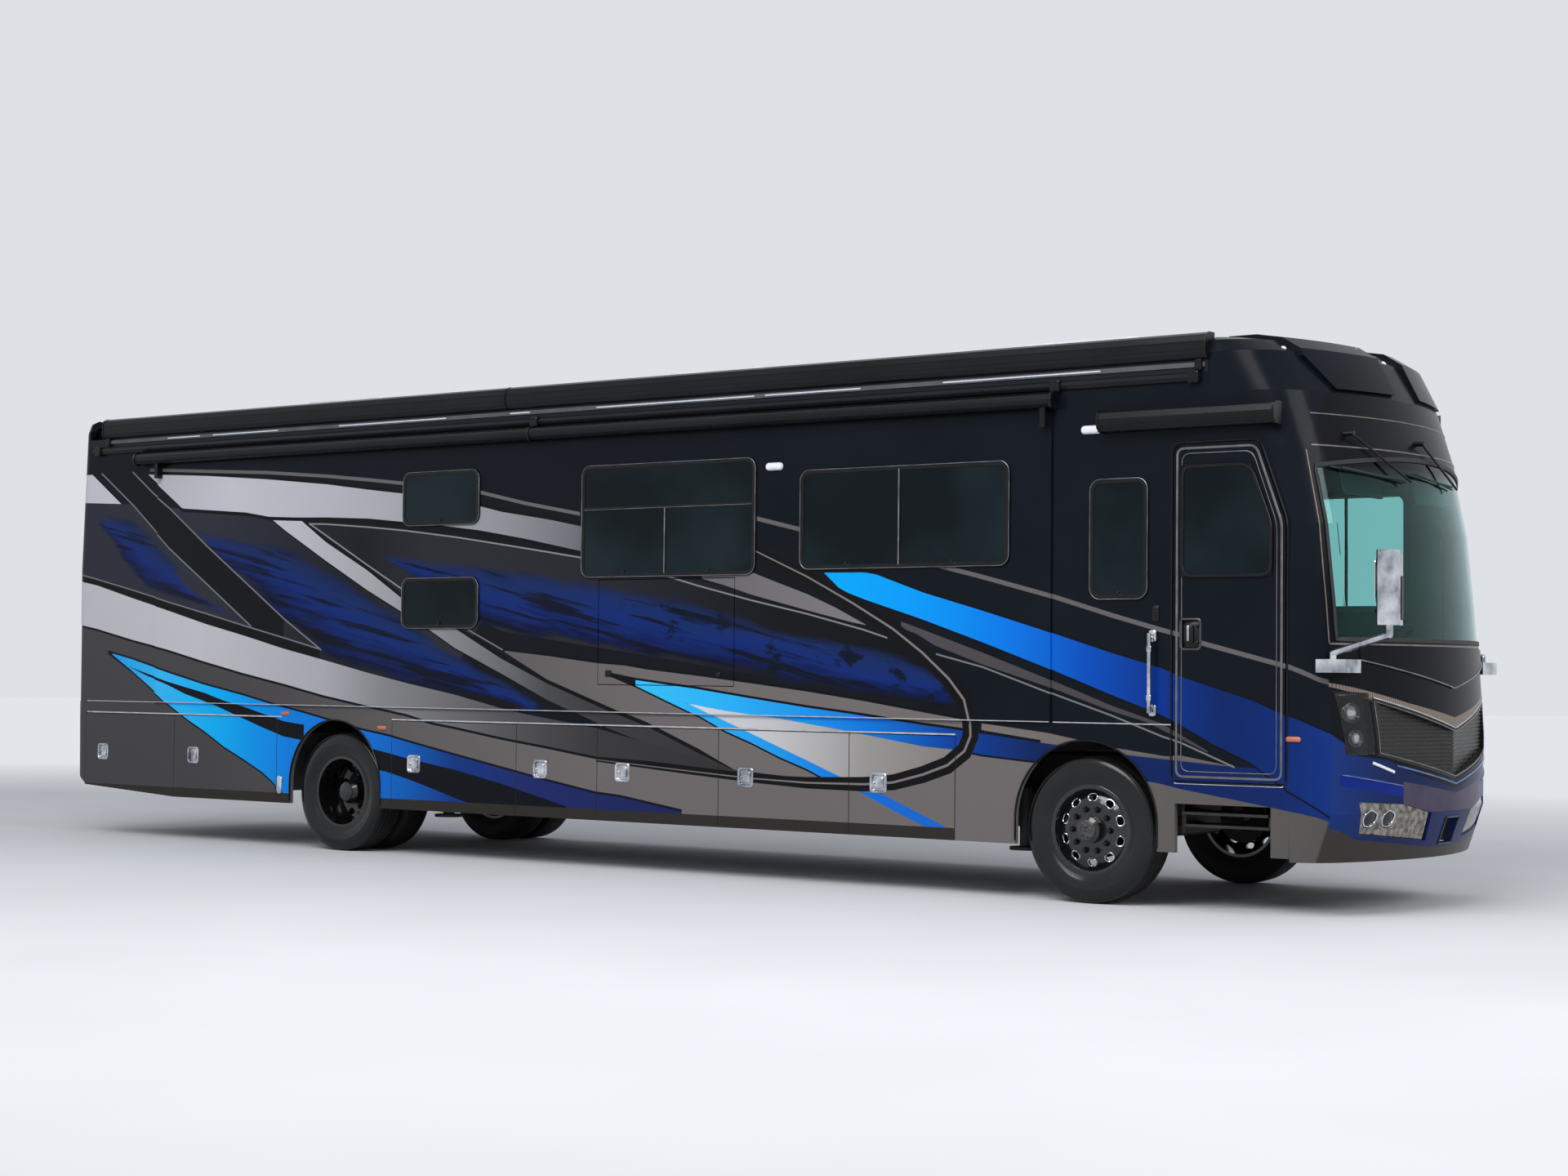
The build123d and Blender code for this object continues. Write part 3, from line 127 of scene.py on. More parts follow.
def piece(name, parts, body, finish, smooth=40):
    """One mesh object from parts of (points, faces), riding on a body, its finish a (slot, material); the
    slot is not used.
    """
    weld = 1e-6
    slot, material = finish
    points, faces, start = [], [], 0
    for part_points, part_faces in parts:
        points.append(part_points)
        faces += [[start + i for i in face] for face in part_faces]
        start += len(part_points)
    mesh = bpy.data.meshes.new(name)
    mesh.from_pydata(np.concatenate(points).tolist(), [], faces)
    work = bmesh.new()
    work.from_mesh(mesh)
    bmesh.ops.remove_doubles(work, verts=work.verts, dist=weld)
    bmesh.ops.recalc_face_normals(work, faces=work.faces)
    work.to_mesh(mesh)
    work.free()
    mesh.shade_smooth()
    mesh.set_sharp_from_angle(angle=radians(smooth))
    obj = bpy.data.objects.new(name, mesh)
    bpy.context.scene.collection.objects.link(obj)
    mesh.materials.append(material)
    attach(obj, body)
    return obj


# Materials
class Wire:
    """A socket of a material. Arithmetic on it adds Math nodes."""

    def __init__(self, net, socket):
        self.net, self.socket = net, socket

    def math(self, operation, *values, clamp=False):
        """Add a Math node that takes the values in order."""
        return self.net.node("ShaderNodeMath", values, operation=operation, use_clamp=clamp)

    def __add__(self, other):
        return self.math("ADD", self, other)

    def __sub__(self, other):
        return self.math("SUBTRACT", self, other)

    def __rsub__(self, other):
        return self.math("SUBTRACT", other, self)

    def __mul__(self, other):
        return self.math("MULTIPLY", self, other)

    def __truediv__(self, other):
        return self.math("DIVIDE", self, other)

    def __abs__(self):
        return self.math("ABSOLUTE", self)

    def fract(self):
        """What is left of it past the whole number below."""
        return self.math("FRACT", self)

    def scaled(self, by, plus, clamp=False):
        """It times one number plus another, kept within 0 and 1 where clamp is set."""
        return self.math("MULTIPLY_ADD", self, by, plus, clamp=clamp)

    def above(self, other, edge=0.002):
        """0 to 1 over an edge where it passes other."""
        return (self - other).scaled(1 / edge, 0.5, clamp=True)

    def below(self, other, edge=0.002):
        """0 to 1 over an edge where other passes it."""
        return self.math("SUBTRACT", other, self).scaled(1 / edge, 0.5, clamp=True)

    def least(self, other):
        """The lesser of the two."""
        return self.math("MINIMUM", self, other)

    def most(self, other):
        """The greater of the two."""
        return self.math("MAXIMUM", self, other)

    def clip(self):
        """It within 0 and 1."""
        return self.math("MAXIMUM", self, 0, clamp=True)


def linear(colour):
    """8-bit display colour to linear light."""
    c = np.asarray(colour, float) / 255
    return tuple(np.where(c <= 0.04045, c / 12.92, ((c + 0.055) / 1.055) ** 2.4)) + (1.0,)


class Net:
    """Node tree of one material."""

    def __init__(self, name, **shine):
        self.material = bpy.data.materials.new(name)
        self.material.use_nodes = True
        self.tree = self.material.node_tree
        self.shader = self.tree.nodes["Principled BSDF"]
        for socket, value in shine.items():
            self.shader.inputs[socket.replace("_", " ")].default_value = value
        place = self.tree.nodes.new("ShaderNodeTexCoord")
        self.place = Wire(self, place.outputs["Object"])

    def node(self, kind, values=(), out=0, **settings):
        """Add a node: settings first, then its sockets by order or by name or index."""
        made = self.tree.nodes.new(kind)
        for key, value in settings.items():
            if key == "stops":
                ramp = made.color_ramp
                while len(ramp.elements) > 1:
                    ramp.elements.remove(ramp.elements[-1])
                ramp.elements[0].position, ramp.elements[0].color = value[0]
                for position, colour in value[1:]:
                    ramp.elements.new(position).color = colour
            elif key == "curve":
                line = made.mapping.curves[0]
                line.points[0].location, line.points[1].location = value[0], value[-1]
                for location in value[1:-1]:
                    line.points.new(*location)
                for point in line.points:
                    point.handle_type = "VECTOR"
                made.mapping.update()
            else:
                setattr(made, key, value)
        pairs = values.items() if isinstance(values, dict) else enumerate(values)
        for key, value in pairs:
            if isinstance(value, Wire):
                self.tree.links.new(value.socket, made.inputs[key])
            else:
                made.inputs[key].default_value = value
        return Wire(self, made.outputs[out])

    def axes(self):
        """The three coordinates of the object."""
        return [self.node("ShaderNodeSeparateXYZ", [self.place], out=k) for k in range(3)]

    def joined(self, x, y, z):
        """Three numbers as one vector."""
        return self.node("ShaderNodeCombineXYZ", [x, y, z])

    def noise(self, scale, detail=3.0, vector=None, rough=0.5):
        """Cloudy noise from 0 to 1 over the object, or over a vector."""
        sockets = {"Vector": vector or self.place, "Scale": scale, "Detail": detail, "Roughness": rough}
        return self.node("ShaderNodeTexNoise", sockets, out="Fac")

    def mix(self, factor, a, b):
        """Colour a to b by factor."""
        return self.node("ShaderNodeMix", {0: factor, 6: a, 7: b}, out=2, data_type="RGBA")

    def ramp(self, value, *stops):
        """Colour by value, between stops of (value, 8-bit colour)."""
        return self.node("ShaderNodeValToRGB", [value], stops=[(p, linear(c)) for p, c in stops])

    def follow(self, along, points):
        """Height of a broken line of (x, z) points over along, level past its ends."""
        (x0, z0), (x1, z1) = np.min(points, 0), np.max(points, 0)
        rise = max(z1 - z0, 1e-4)
        curve = [((x - x0) / (x1 - x0), (z - z0) / rise) for x, z in points]
        t = along.scaled(1 / (x1 - x0), -x0 / (x1 - x0), clamp=True)
        return self.node("ShaderNodeFloatCurve", {"Factor": 1.0, "Value": t}, curve=curve).scaled(rise, z0)

    def give(self, socket, value):
        """Feed one socket of the shader."""
        if isinstance(value, Wire):
            self.tree.links.new(value.socket, self.shader.inputs[socket])
        else:
            self.shader.inputs[socket].default_value = value
        return self

    def bump(self, height, distance=0.001, strength=0.5):
        """Raise the surface's normal by height."""
        sockets = {"Strength": strength, "Distance": distance, "Height": height}
        return self.give("Normal", self.node("ShaderNodeBump", sockets, out="Normal"))


def plain(name, colour, other, rough, scale, grain=0.0, grain_scale=0.0, **shine):
    """A finish that drifts between two colours and two roughnesses, with a fine grain in its surface."""
    net = Net(name, **shine)
    cloud = net.noise(scale, 4)
    net.give("Base Color", net.ramp(cloud, (0.35, colour), (0.65, other)))
    net.give("Roughness", cloud.scaled(rough[1] - rough[0], rough[0]))
    if grain:
        net.bump(net.noise(grain_scale, 2), grain, 0.6)
    return net.material


# Stripes of the side. Their lines are rows of (x, z) points. Each table is drawn in its order, and an entry
# is an upper line, a lower line, and either one colour or the colours at places along X
REAR_U = -7.7
NIGHT = (9, 14, 22)
INK = (9, 10, 13)
TAUPE = (104, 99, 98)
GROUND = [(REAR_U, 0), (6.15, 0)]
SWOOSH_TOP = [(REAR_U, 2.50), (-6.34, 2.306), (-6.0, 2.25), (-5.5, 2.129), (-5.0, 2.015), (-4.5, 1.896),
              (-4.0, 1.793), (-3.5, 1.682), (-3.0, 1.5875), (-2.5, 1.489), (-2.0, 1.40), (-1.5, 1.32),
              (-1.0, 1.221), (-.75, 1.177), (0, 1.08), (.5, .98), (1.35, .80)]
SWOOSH_LOW = [(REAR_U, 2.10), (-6.34, 1.91), (-6.0, 1.858), (-5.5, 1.758), (-5.0, 1.671), (-4.5, 1.567),
              (-4.0, 1.471), (-3.5, 1.386), (-3.0, 1.293), (-2.5, 1.218), (-2.05, 1.154), (-1.75, 1.091),
              (-1.5, 1.061), (-1.0, .989), (-.5, .929), (0, .863), (.5, .832), (1.0, .789), (1.5, .765),
              (2.0, .765), (2.5, .779)]
LEG_LOW = [(-3.71, 2.81), (-3.5, 2.686), (-3.0, 2.421), (-2.5, 2.168), (-2.085, 1.98), (-1.78, 1.8375),
           (-1.5, 1.695), (-1.0, 1.498), (-.5, 1.293), (0, 1.123), (.1, 1.0875), (.35, 1.016), (1.35, .77)]
LEG_TOP = [(-3.71, 2.81), (-3.35, 2.793), (-3.0, 2.575), (-2.5, 2.329), (-2.085, 2.0875), (-1.49, 1.846),
           (-1.0, 1.614), (-.5, 1.418), (0, 1.257), (.25, 1.177), (.5, 1.105), (1.0, .918), (1.35, .793)]
BAND_TOP = [(-5.32, 3.235), (-4.5, 3.189), (-3.75, 3.132), (-3.0, 3.061), (-2.5, 2.998), (-2.08, 2.95),
            (-1.23, 2.82), (-1.0, 2.77), (-.5, 2.695), (-.18, 2.636), (.3, 2.55)]
BAND_LOW = [(-5.32, 3.235), (-4.83, 2.915), (-4.0, 2.855), (-3.71, 2.81), (-3.35, 2.793), (-3.0, 2.784),
            (-2.5, 2.76), (-2.08, 2.72), (-1.72, 2.686), (-1.25, 2.632), (-.75, 2.552), (-.18, 2.445),
            (.3, 2.36)]
SLANT_LOW = [(-5.97, 3.27), (-5.5, 2.952), (-5.0, 2.567), (-4.5, 2.25), (-3.91, 1.873), (-3.5, 1.60)]
SLANT_TOP = [(-5.97, 3.27), (-5.535, 3.265), (-5.25, 3.067), (-5.0, 2.92), (-4.5, 2.577), (-4.0, 2.257),
           (-3.5, 1.936), (-3.036, 1.671)]
PIN_REAR = [(REAR_U, 2.55), (-6.33, 2.369), (-6.0, 2.306), (-5.5, 2.202), (-5.0, 2.092), (-4.5, 1.9875),
         (-4.0, 1.879), (-3.5, 1.775), (-3.06, 1.68)]
PIN_LONG = [(-3.2, 2.735), (-3.0, 2.727), (-2.5, 2.689), (-2.08, 2.65), (-1.5, 2.582), (-1.0, 2.5125),
         (-.5, 2.441), (-.16, 2.391), (.68, 2.239), (1.0, 2.159), (1.5, 2.046), (2.0, 1.945), (2.5, 1.829),
         (2.704, 1.771), (3.114, 1.659), (3.5, 1.57), (4.0, 1.409), (4.5, 1.255), (4.87, 1.127), (5.0, 1.092),
         (5.39, .942)]
PALE_LINE = [(-5.3, 3.275), (-4.5, 3.23), (-3.75, 3.19), (-3.0, 3.13), (-2.5, 3.08), (-2.08, 3.035),
         (-1.22, 2.93), (-.75, 2.83), (-.18, 2.73), (1.54, 2.645), (1.895, 2.564), (3.275, 2.239),
         (3.5, 2.186), (4.0, 2.061), (4.5, 1.918), (4.87, 1.82), (5.0, 1.79), (5.14, 1.74), (5.77, 1.585),
         (6.0, 1.508), (6.15, 1.48)]
CYAN_TOP = [(-5.83, 1.645), (-5.5, 1.583), (-5.0, 1.469), (-4.5, 1.365), (-4.0, 1.279), (-3.5, 1.181),
            (-3.25, 1.139), (-3.0, 1.092), (-2.6, 1.016), (-2.25, .968), (-2.0, .921), (-1.5, .832),
            (-1.0, .745), (-.5, .658), (0, .579), (.25, .561), (.5, .525), (.85, .475)]
CYAN_LOW = [(-5.83, 1.645), (-5.5, 1.483), (-5.25, 1.342), (-5.0, 1.192), (-4.75, 1.067), (-4.5, .958),
            (-4.25, .833), (-4.0, .733), (-3.75, .625), (-3.6, .535), (-3.5, .30), (.85, .30)]
WEDGE_TOP = [(-5.55, 1.52), (-5.3, 1.46), (-5.0, 1.39), (-4.75, 1.342), (-4.5, 1.296), (-4.25, 1.233),
             (-4.0, 1.181), (-3.75, 1.125), (-3.5, 1.067), (-3.25, 1.042)]
WEDGE_LOW = [(-5.55, 1.52), (-5.3, 1.44), (-5.0, 1.3625), (-4.75, 1.281), (-4.5, 1.223), (-4.25, 1.15),
             (-4.0, 1.077), (-3.75, 1.004), (-3.5, .9375), (-3.25, .91)]
WEDGE_TOP_2 = [(-2.45, .863), (-2.25, .832), (-2.0, .789), (-1.5, .718), (-1.0, .626), (-.5, .516),
               (-.3, .47)]
WEDGE_LOW_2 = [(-2.45, .70), (-2.25, .674), (-2.0, .621), (-1.75, .56), (-1.5, .495), (-1.35, .46),
               (-.3, .38)]
PANEL_TOP = [(-.95, 1.671), (-.5, 1.632), (0, 1.579), (.3, 1.561), (.5, 1.534), (1.0, 1.489), (1.5, 1.439),
             (2.0, 1.386), (2.5, 1.325), (3.0, 1.254), (3.4, 1.20)]
PANEL_LOW = [(-.95, 1.66), (-.5, 1.45), (0, 1.29), (.25, 1.21), (.5, 1.137), (1.0, .95), (1.35, .80),
             (2.0, .76), (2.6, .76), (3.0, .84), (3.4, 1.18)]
MID_TOP = [(.15, 1.489), (.4, 1.452), (1.0, 1.391), (1.5, 1.329), (2.0, 1.271), (2.5, 1.221), (3.0, 1.164),
           (3.3, 1.136), (3.5, 1.114), (4.0, 1.06), (4.6, 1.0), (5.3, .95), (5.77, .93), (6.15, .90)]
MID_LOW = [(.15, 1.489), (.4, 1.41), (.75, 1.284), (.90, 1.284), (1.25, 1.236), (1.75, 1.186), (2.25, 1.123),
           (2.5, 1.0875), (3.0, 1.016), (3.3, .998), (3.5, .971), (3.95, .936), (4.85, .82), (5.0, .79),
           (5.5, .717), (5.97, .644), (6.15, .60)]
STRAND_TOP = [(.75, 1.30), (.92, 1.28), (1.25, 1.159), (1.5, 1.07), (1.75, .98), (2.0, .891), (2.314, .775)]
STRAND_LOW = [(.75, 1.284), (1.0, 1.195), (1.25, 1.0875), (1.5, 1.004), (1.75, .909), (2.0, .829),
              (2.154, .766), (2.314, .76)]
FLAG_TOP = MID_LOW[3:10]
FLAG_LOW = STRAND_TOP[1:] + [(2.5, .775), (3.0, .86), (3.3, .96)]
FRONT_TOP = [(2.154, 2.239), (2.5, 2.235), (2.6, 2.22), (3.0, 2.0875), (3.5, 1.954), (4.0, 1.814),
             (4.5, 1.668), (4.87, 1.57), (5.0, 1.519), (5.5, 1.373), (5.7, 1.296), (6.0, 1.196), (6.15, 1.15)]
FRONT_LOW = [(2.154, 2.235), (2.3, 2.114), (2.5, 2.046), (3.0, 1.90), (3.5, 1.739), (4.0, 1.57), (4.5, 1.391),
             (4.87, 1.266), (5.0, 1.206), (5.25, 1.081), (5.5, .977), (5.77, .80), (6.15, .62)]
GREY_TOP = [(2.82, 1.886), (3.0, 1.829), (3.5, 1.668), (4.0, 1.498), (4.5, 1.32), (4.87, 1.21), (5.2, 1.04)]
GREY_LOW = [(2.82, 1.84), (2.95, 1.8), (3.1, 1.72), (3.5, 1.5875), (4.0, 1.445), (4.5, 1.284), (4.75, 1.22),
            (5.2, 1.03)]


def raised(line, rise):
    """A line moved up by rise."""
    return [(x, z + rise) for x, z in line]


STRIPES = [
    (PALE_LINE[:9] + [(.68, 2.60), (1.5, 2.48), (3.0, 2.12)], SWOOSH_TOP[:13] + [(3.0, .9)], (13, 15, 20)),
    ([(REAR_U, 3.0), (-6.35, 3.015), (-5.69, 2.985), (-4.83, 2.915), (-4.0, 2.855),
      (-3.71, 2.81)] + PIN_LONG[:9] + [(1.0, 2.2), (1.5, 2.1), (2.0, 1.99), (2.5, 1.88), (3.2, 1.62)],
     SWOOSH_TOP[:10] + [(-2.0, 1.42), (-1.5, 1.5), (-1.2, 1.92), (-1.0, 1.83), (-.25, 1.73), (.5, 1.64),
      (1.5, 1.507), (2.5, 1.373), (3.2, 1.28)],
     [(REAR_U, (40, 42, 52)), (-4.4, (42, 44, 54)), (-2.6, (22, 24, 30)), (-1.8, (40, 40, 46)),
      (.2, (34, 34, 40)), (1.6, (17, 18, 22)), (3.2, (10, 11, 14))]),
]
BRUSH_BLUES = [(0.05, (3, 8, 36)), (0.3, (5, 18, 64)), (0.52, (11, 39, 106)), (0.72, (18, 39, 90)),
               (0.95, (18, 27, 54))]
BRUSHES = [
    ([(-6.1, 2.93), (-5.5, 2.83), (-5.2, 2.65), (-5.0, 2.5), (-4.75, 2.3), (-4.4, 2.1), (-4.1, 1.98)],
     [(-6.1, 2.90), (-5.9, 2.70), (-5.6, 2.42), (-5.3, 2.22), (-5.0, 2.10), (-4.6, 2.02), (-4.1, 1.92)]),
    ([(-4.6, 2.70), (-3.9, 2.62), (-3.5, 2.55), (-3.1, 2.40), (-2.5, 2.14), (-2.0, 1.92), (-1.5, 1.66),
      (-1.0, 1.46), (-.6, 1.30)],
     [(-4.6, 2.66), (-4.3, 2.42), (-3.9, 2.16), (-3.3, 1.80), (-2.9, 1.56), (-2.0, 1.39), (-1.0, 1.22),
      (-.6, 1.14)]),
    ([(-2.3, 2.46), (-2.0, 2.45), (-1.0, 2.34), (-.5, 2.28), (0, 2.21), (.5, 2.13), (1.0, 2.03), (1.5, 1.92),
      (2.0, 1.82), (2.75, 1.68), (3.25, 1.50)],
     [(-2.3, 2.40), (-1.9, 2.16), (-1.5, 1.93), (-1.0, 1.81), (-.75, 1.76), (.1, 1.66), (1.5, 1.49),
      (2.5, 1.35), (3.25, 1.27)]),
]
OVER = [
    (PIN_REAR, SWOOSH_TOP[:9] + [(-3.06, 1.60)], INK),
    (SLANT_TOP, SLANT_LOW, (11, 12, 16)),
    (raised(LEG_TOP, .035), raised(LEG_LOW, -.012), INK),
    (LEG_TOP, LEG_LOW,
     [(-3.7, (186, 187, 194)), (-2.2, (150, 151, 156)), (-.9, (98, 98, 101)), (-.5, (70, 70, 73)),
      (0, (58, 57, 58)), (1.35, (48, 47, 48))]),
    (raised(BAND_TOP, .03), raised(BAND_LOW, -.03), INK),
    (BAND_TOP, BAND_LOW,
     [(-5.3, (174, 175, 181)), (-4.2, (188, 189, 196)), (-3.0, (174, 175, 181)), (-1.0, (136, 137, 142)),
      (-.2, (104, 105, 110)), (.3, (40, 40, 44))]),
    ([(REAR_U, 3.27), (-6.10, 3.262), (-5.69, 2.985)], [(REAR_U, 3.03), (-6.35, 3.015), (-5.69, 2.983)],
     [(-7, (182, 183, 190)), (-6, (190, 191, 198))]),
    (SWOOSH_TOP, raised(SWOOSH_LOW, -.02), INK),
    (SWOOSH_TOP, SWOOSH_LOW[:16] + [(.5, .845), (1.35, .79)],
     [(REAR_U, (182, 181, 187)), (-4.6, (188, 188, 193)), (-3.0, (164, 164, 169)), (-2.3, (128, 128, 131)),
      (-1.4, (100, 99, 101)), (-1.0, (84, 83, 85)), (-.5, (68, 66, 68)), (0, (54, 53, 54)),
      (1.35, (46, 45, 46))]),
    (raised(SWOOSH_LOW, -.02) + [(2.7, .80), (3.47, 1.0), (3.48, 1.135), (4.0, 1.075), (4.6, 1.01),
      (5.3, .955), (5.77, .9), (6.15, .7)], GROUND,
     [(REAR_U, (66, 64, 68)), (-4.5, (68, 66, 68)), (-3.5, (74, 71, 72)), (-2.5, (88, 84, 84)),
      (-1.5, (96, 92, 91)), (0, TAUPE), (4.0, TAUPE), (4.9, (90, 87, 84)), (6.15, (80, 77, 74))]),
    (raised(CYAN_TOP, .018), raised(CYAN_LOW, -.016), (7, 12, 30)),
    ([(-5.77, 1.634)] + CYAN_TOP[1:], [(-5.77, 1.622)] + CYAN_LOW[1:],
     [(-5.77, (30, 150, 222)), (-5.1, (50, 182, 240)), (-4.4, (0, 172, 240)), (-3.9, (0, 146, 228)),
      (-3.4, (4, 122, 216)), (-2.4, (8, 106, 200)), (-1.5, (12, 50, 124)), (-.75, (28, 40, 100)),
      (.85, (24, 32, 80))]),
    (WEDGE_TOP, WEDGE_LOW, (6, 8, 16)),
    (WEDGE_TOP_2, WEDGE_LOW_2, (8, 10, 18)),
    (raised(PANEL_TOP, .02), PANEL_LOW, INK),
    (PANEL_TOP, PANEL_LOW, [(-1, (92, 88, 88)), (.5, TAUPE), (3.4, (108, 102, 100))]),
    ([(3.48, 1.186), (4.0, 1.132), (4.5, 1.046), (4.9, .998), (5.0, 1.008), (5.38, .946)],
     [(3.48, 1.141), (4.0, 1.075), (4.6, 1.01), (5.3, .955), (5.38, .944)],
     [(3, (118, 112, 108)), (5, (96, 91, 88))]),
    (raised(MID_TOP[:10], .018), raised(MID_LOW[:12], -.014), INK),
    (raised(STRAND_TOP, .014), raised(STRAND_LOW, -.014), INK),
    (FLAG_TOP, FLAG_LOW,
     [(.9, (204, 206, 212)), (1.7, (186, 186, 188)), (2.5, (146, 142, 140)), (3.3, (120, 115, 111))]),
    (MID_TOP[1:], MID_LOW[1:],
     [(.4, (50, 184, 236)), (1.2, (40, 170, 234)), (2.5, (12, 114, 208)), (3.2, (10, 62, 148)),
      (3.9, (9, 32, 86)), (4.9, (10, 32, 86)), (5.6, (12, 34, 90)), (6.15, (16, 42, 106))]),
    (STRAND_TOP, STRAND_LOW, [(.75, (46, 178, 236)), (2.3, (12, 116, 212))]),
    ([(2.454, .686), (2.65, .677), (3.186, .468)], [(2.454, .686), (2.75, .561), (3.02, .46), (3.186, .46)],
     [(2.4, (18, 104, 204)), (3.2, (18, 96, 190))]),
    ([(1.03, 2.23), (1.51, 2.248), (1.75, 2.168), (2.0, 2.0875), (2.25, 1.989), (2.52, 1.864)],
     [(1.03, 2.2125), (1.25, 2.159), (1.5, 2.0875), (2.0, 1.971), (2.4, 1.882), (2.52, 1.862)],
     [(1.0, (98, 95, 99)), (2.5, (116, 112, 116))]),
    (GREY_TOP, GREY_LOW, [(2.8, (72, 69, 71)), (5, (66, 63, 65))]),
    (raised(FRONT_TOP, .014), raised(FRONT_LOW, -.014), INK),
    (FRONT_TOP, FRONT_LOW,
     [(2.3, (0, 156, 232)), (3.0, (0, 142, 228)), (3.7, (4, 110, 212)), (4.3, (3, 72, 172)),
      (4.8, (4, 48, 132)), (5.3, (5, 34, 94)), (5.7, (8, 38, 102)), (6.15, (14, 44, 112))]),
]
PINS = [
    (PALE_LINE[:9], .028, (96, 94, 94)),
    (PALE_LINE[9:], .032, (92, 90, 90)),
    ([(-3.21, 2.739), (-3.0, 2.632), (-2.5, 2.373), (-2.09, 2.168)], .014, (128, 128, 130)),
    ([(-1.35, 1.8375), (-.97, 1.677)], .012, (112, 112, 114)),
    (PIN_LONG[:8], .012, (128, 128, 130)),
    (PIN_LONG[8:14], .012, (122, 122, 124)),
    (PIN_LONG[14:], .012, (112, 112, 114)),
    (SLANT_LOW[:5], .016, (112, 112, 116)),
    (SLANT_TOP[1:], .016, (112, 112, 116)),
    (PIN_REAR[1:], .012, (112, 112, 116)),
    ([(-2.2, .44), (3.27, .44)], .004, (84, 80, 72)),
]

# Centre line of the J stripe: right-hand side as X over Z, lower side as Z over X
HOOK = np.array([(1.45, 2.44), (1.5375, 2.404), (2.0, 2.2125), (2.4, 2.02), (2.75, 1.835), (3.0, 1.668),
                 (3.22, 1.489), (3.346, 1.346), (3.386, 1.204), (3.391, 1.096), (3.343, .993), (3.204, .891),
                 (3.0, .82), (2.75, .757), (2.5, .736), (2.0, .73), (1.5, .745), (1.0, .775), (0, .84)])


def beside(path, reach):
    """A path moved along its left normal by reach, which may differ from point to point."""
    ahead = np.gradient(path, axis=0)
    ahead /= np.linalg.norm(ahead, axis=1)[:, None]
    return path + np.stack([-ahead[:, 1], ahead[:, 0]], axis=1) * reach[:, None]


def hook_mask(net, u, z, widths):
    """1 inside the J stripe: what is within its outer line less what is within its inner line."""
    turn = 11
    sides = []
    for sign in (1, -1):
        edge = beside(HOOK, sign * widths / 2)
        down, foot = edge[:turn + 1][::-1], edge[turn:][::-1]
        right = net.follow(z, [(b, a) for a, b in down[np.argsort(down[:, 1])]])
        low = net.follow(u, [tuple(p) for p in foot[np.argsort(foot[:, 0])]])
        sides.append(u.below(right, 0.004) * z.above(low, 0.004))
    return (sides[0] - sides[1]).clip() * z.below(2.43) * u.above(0.0)


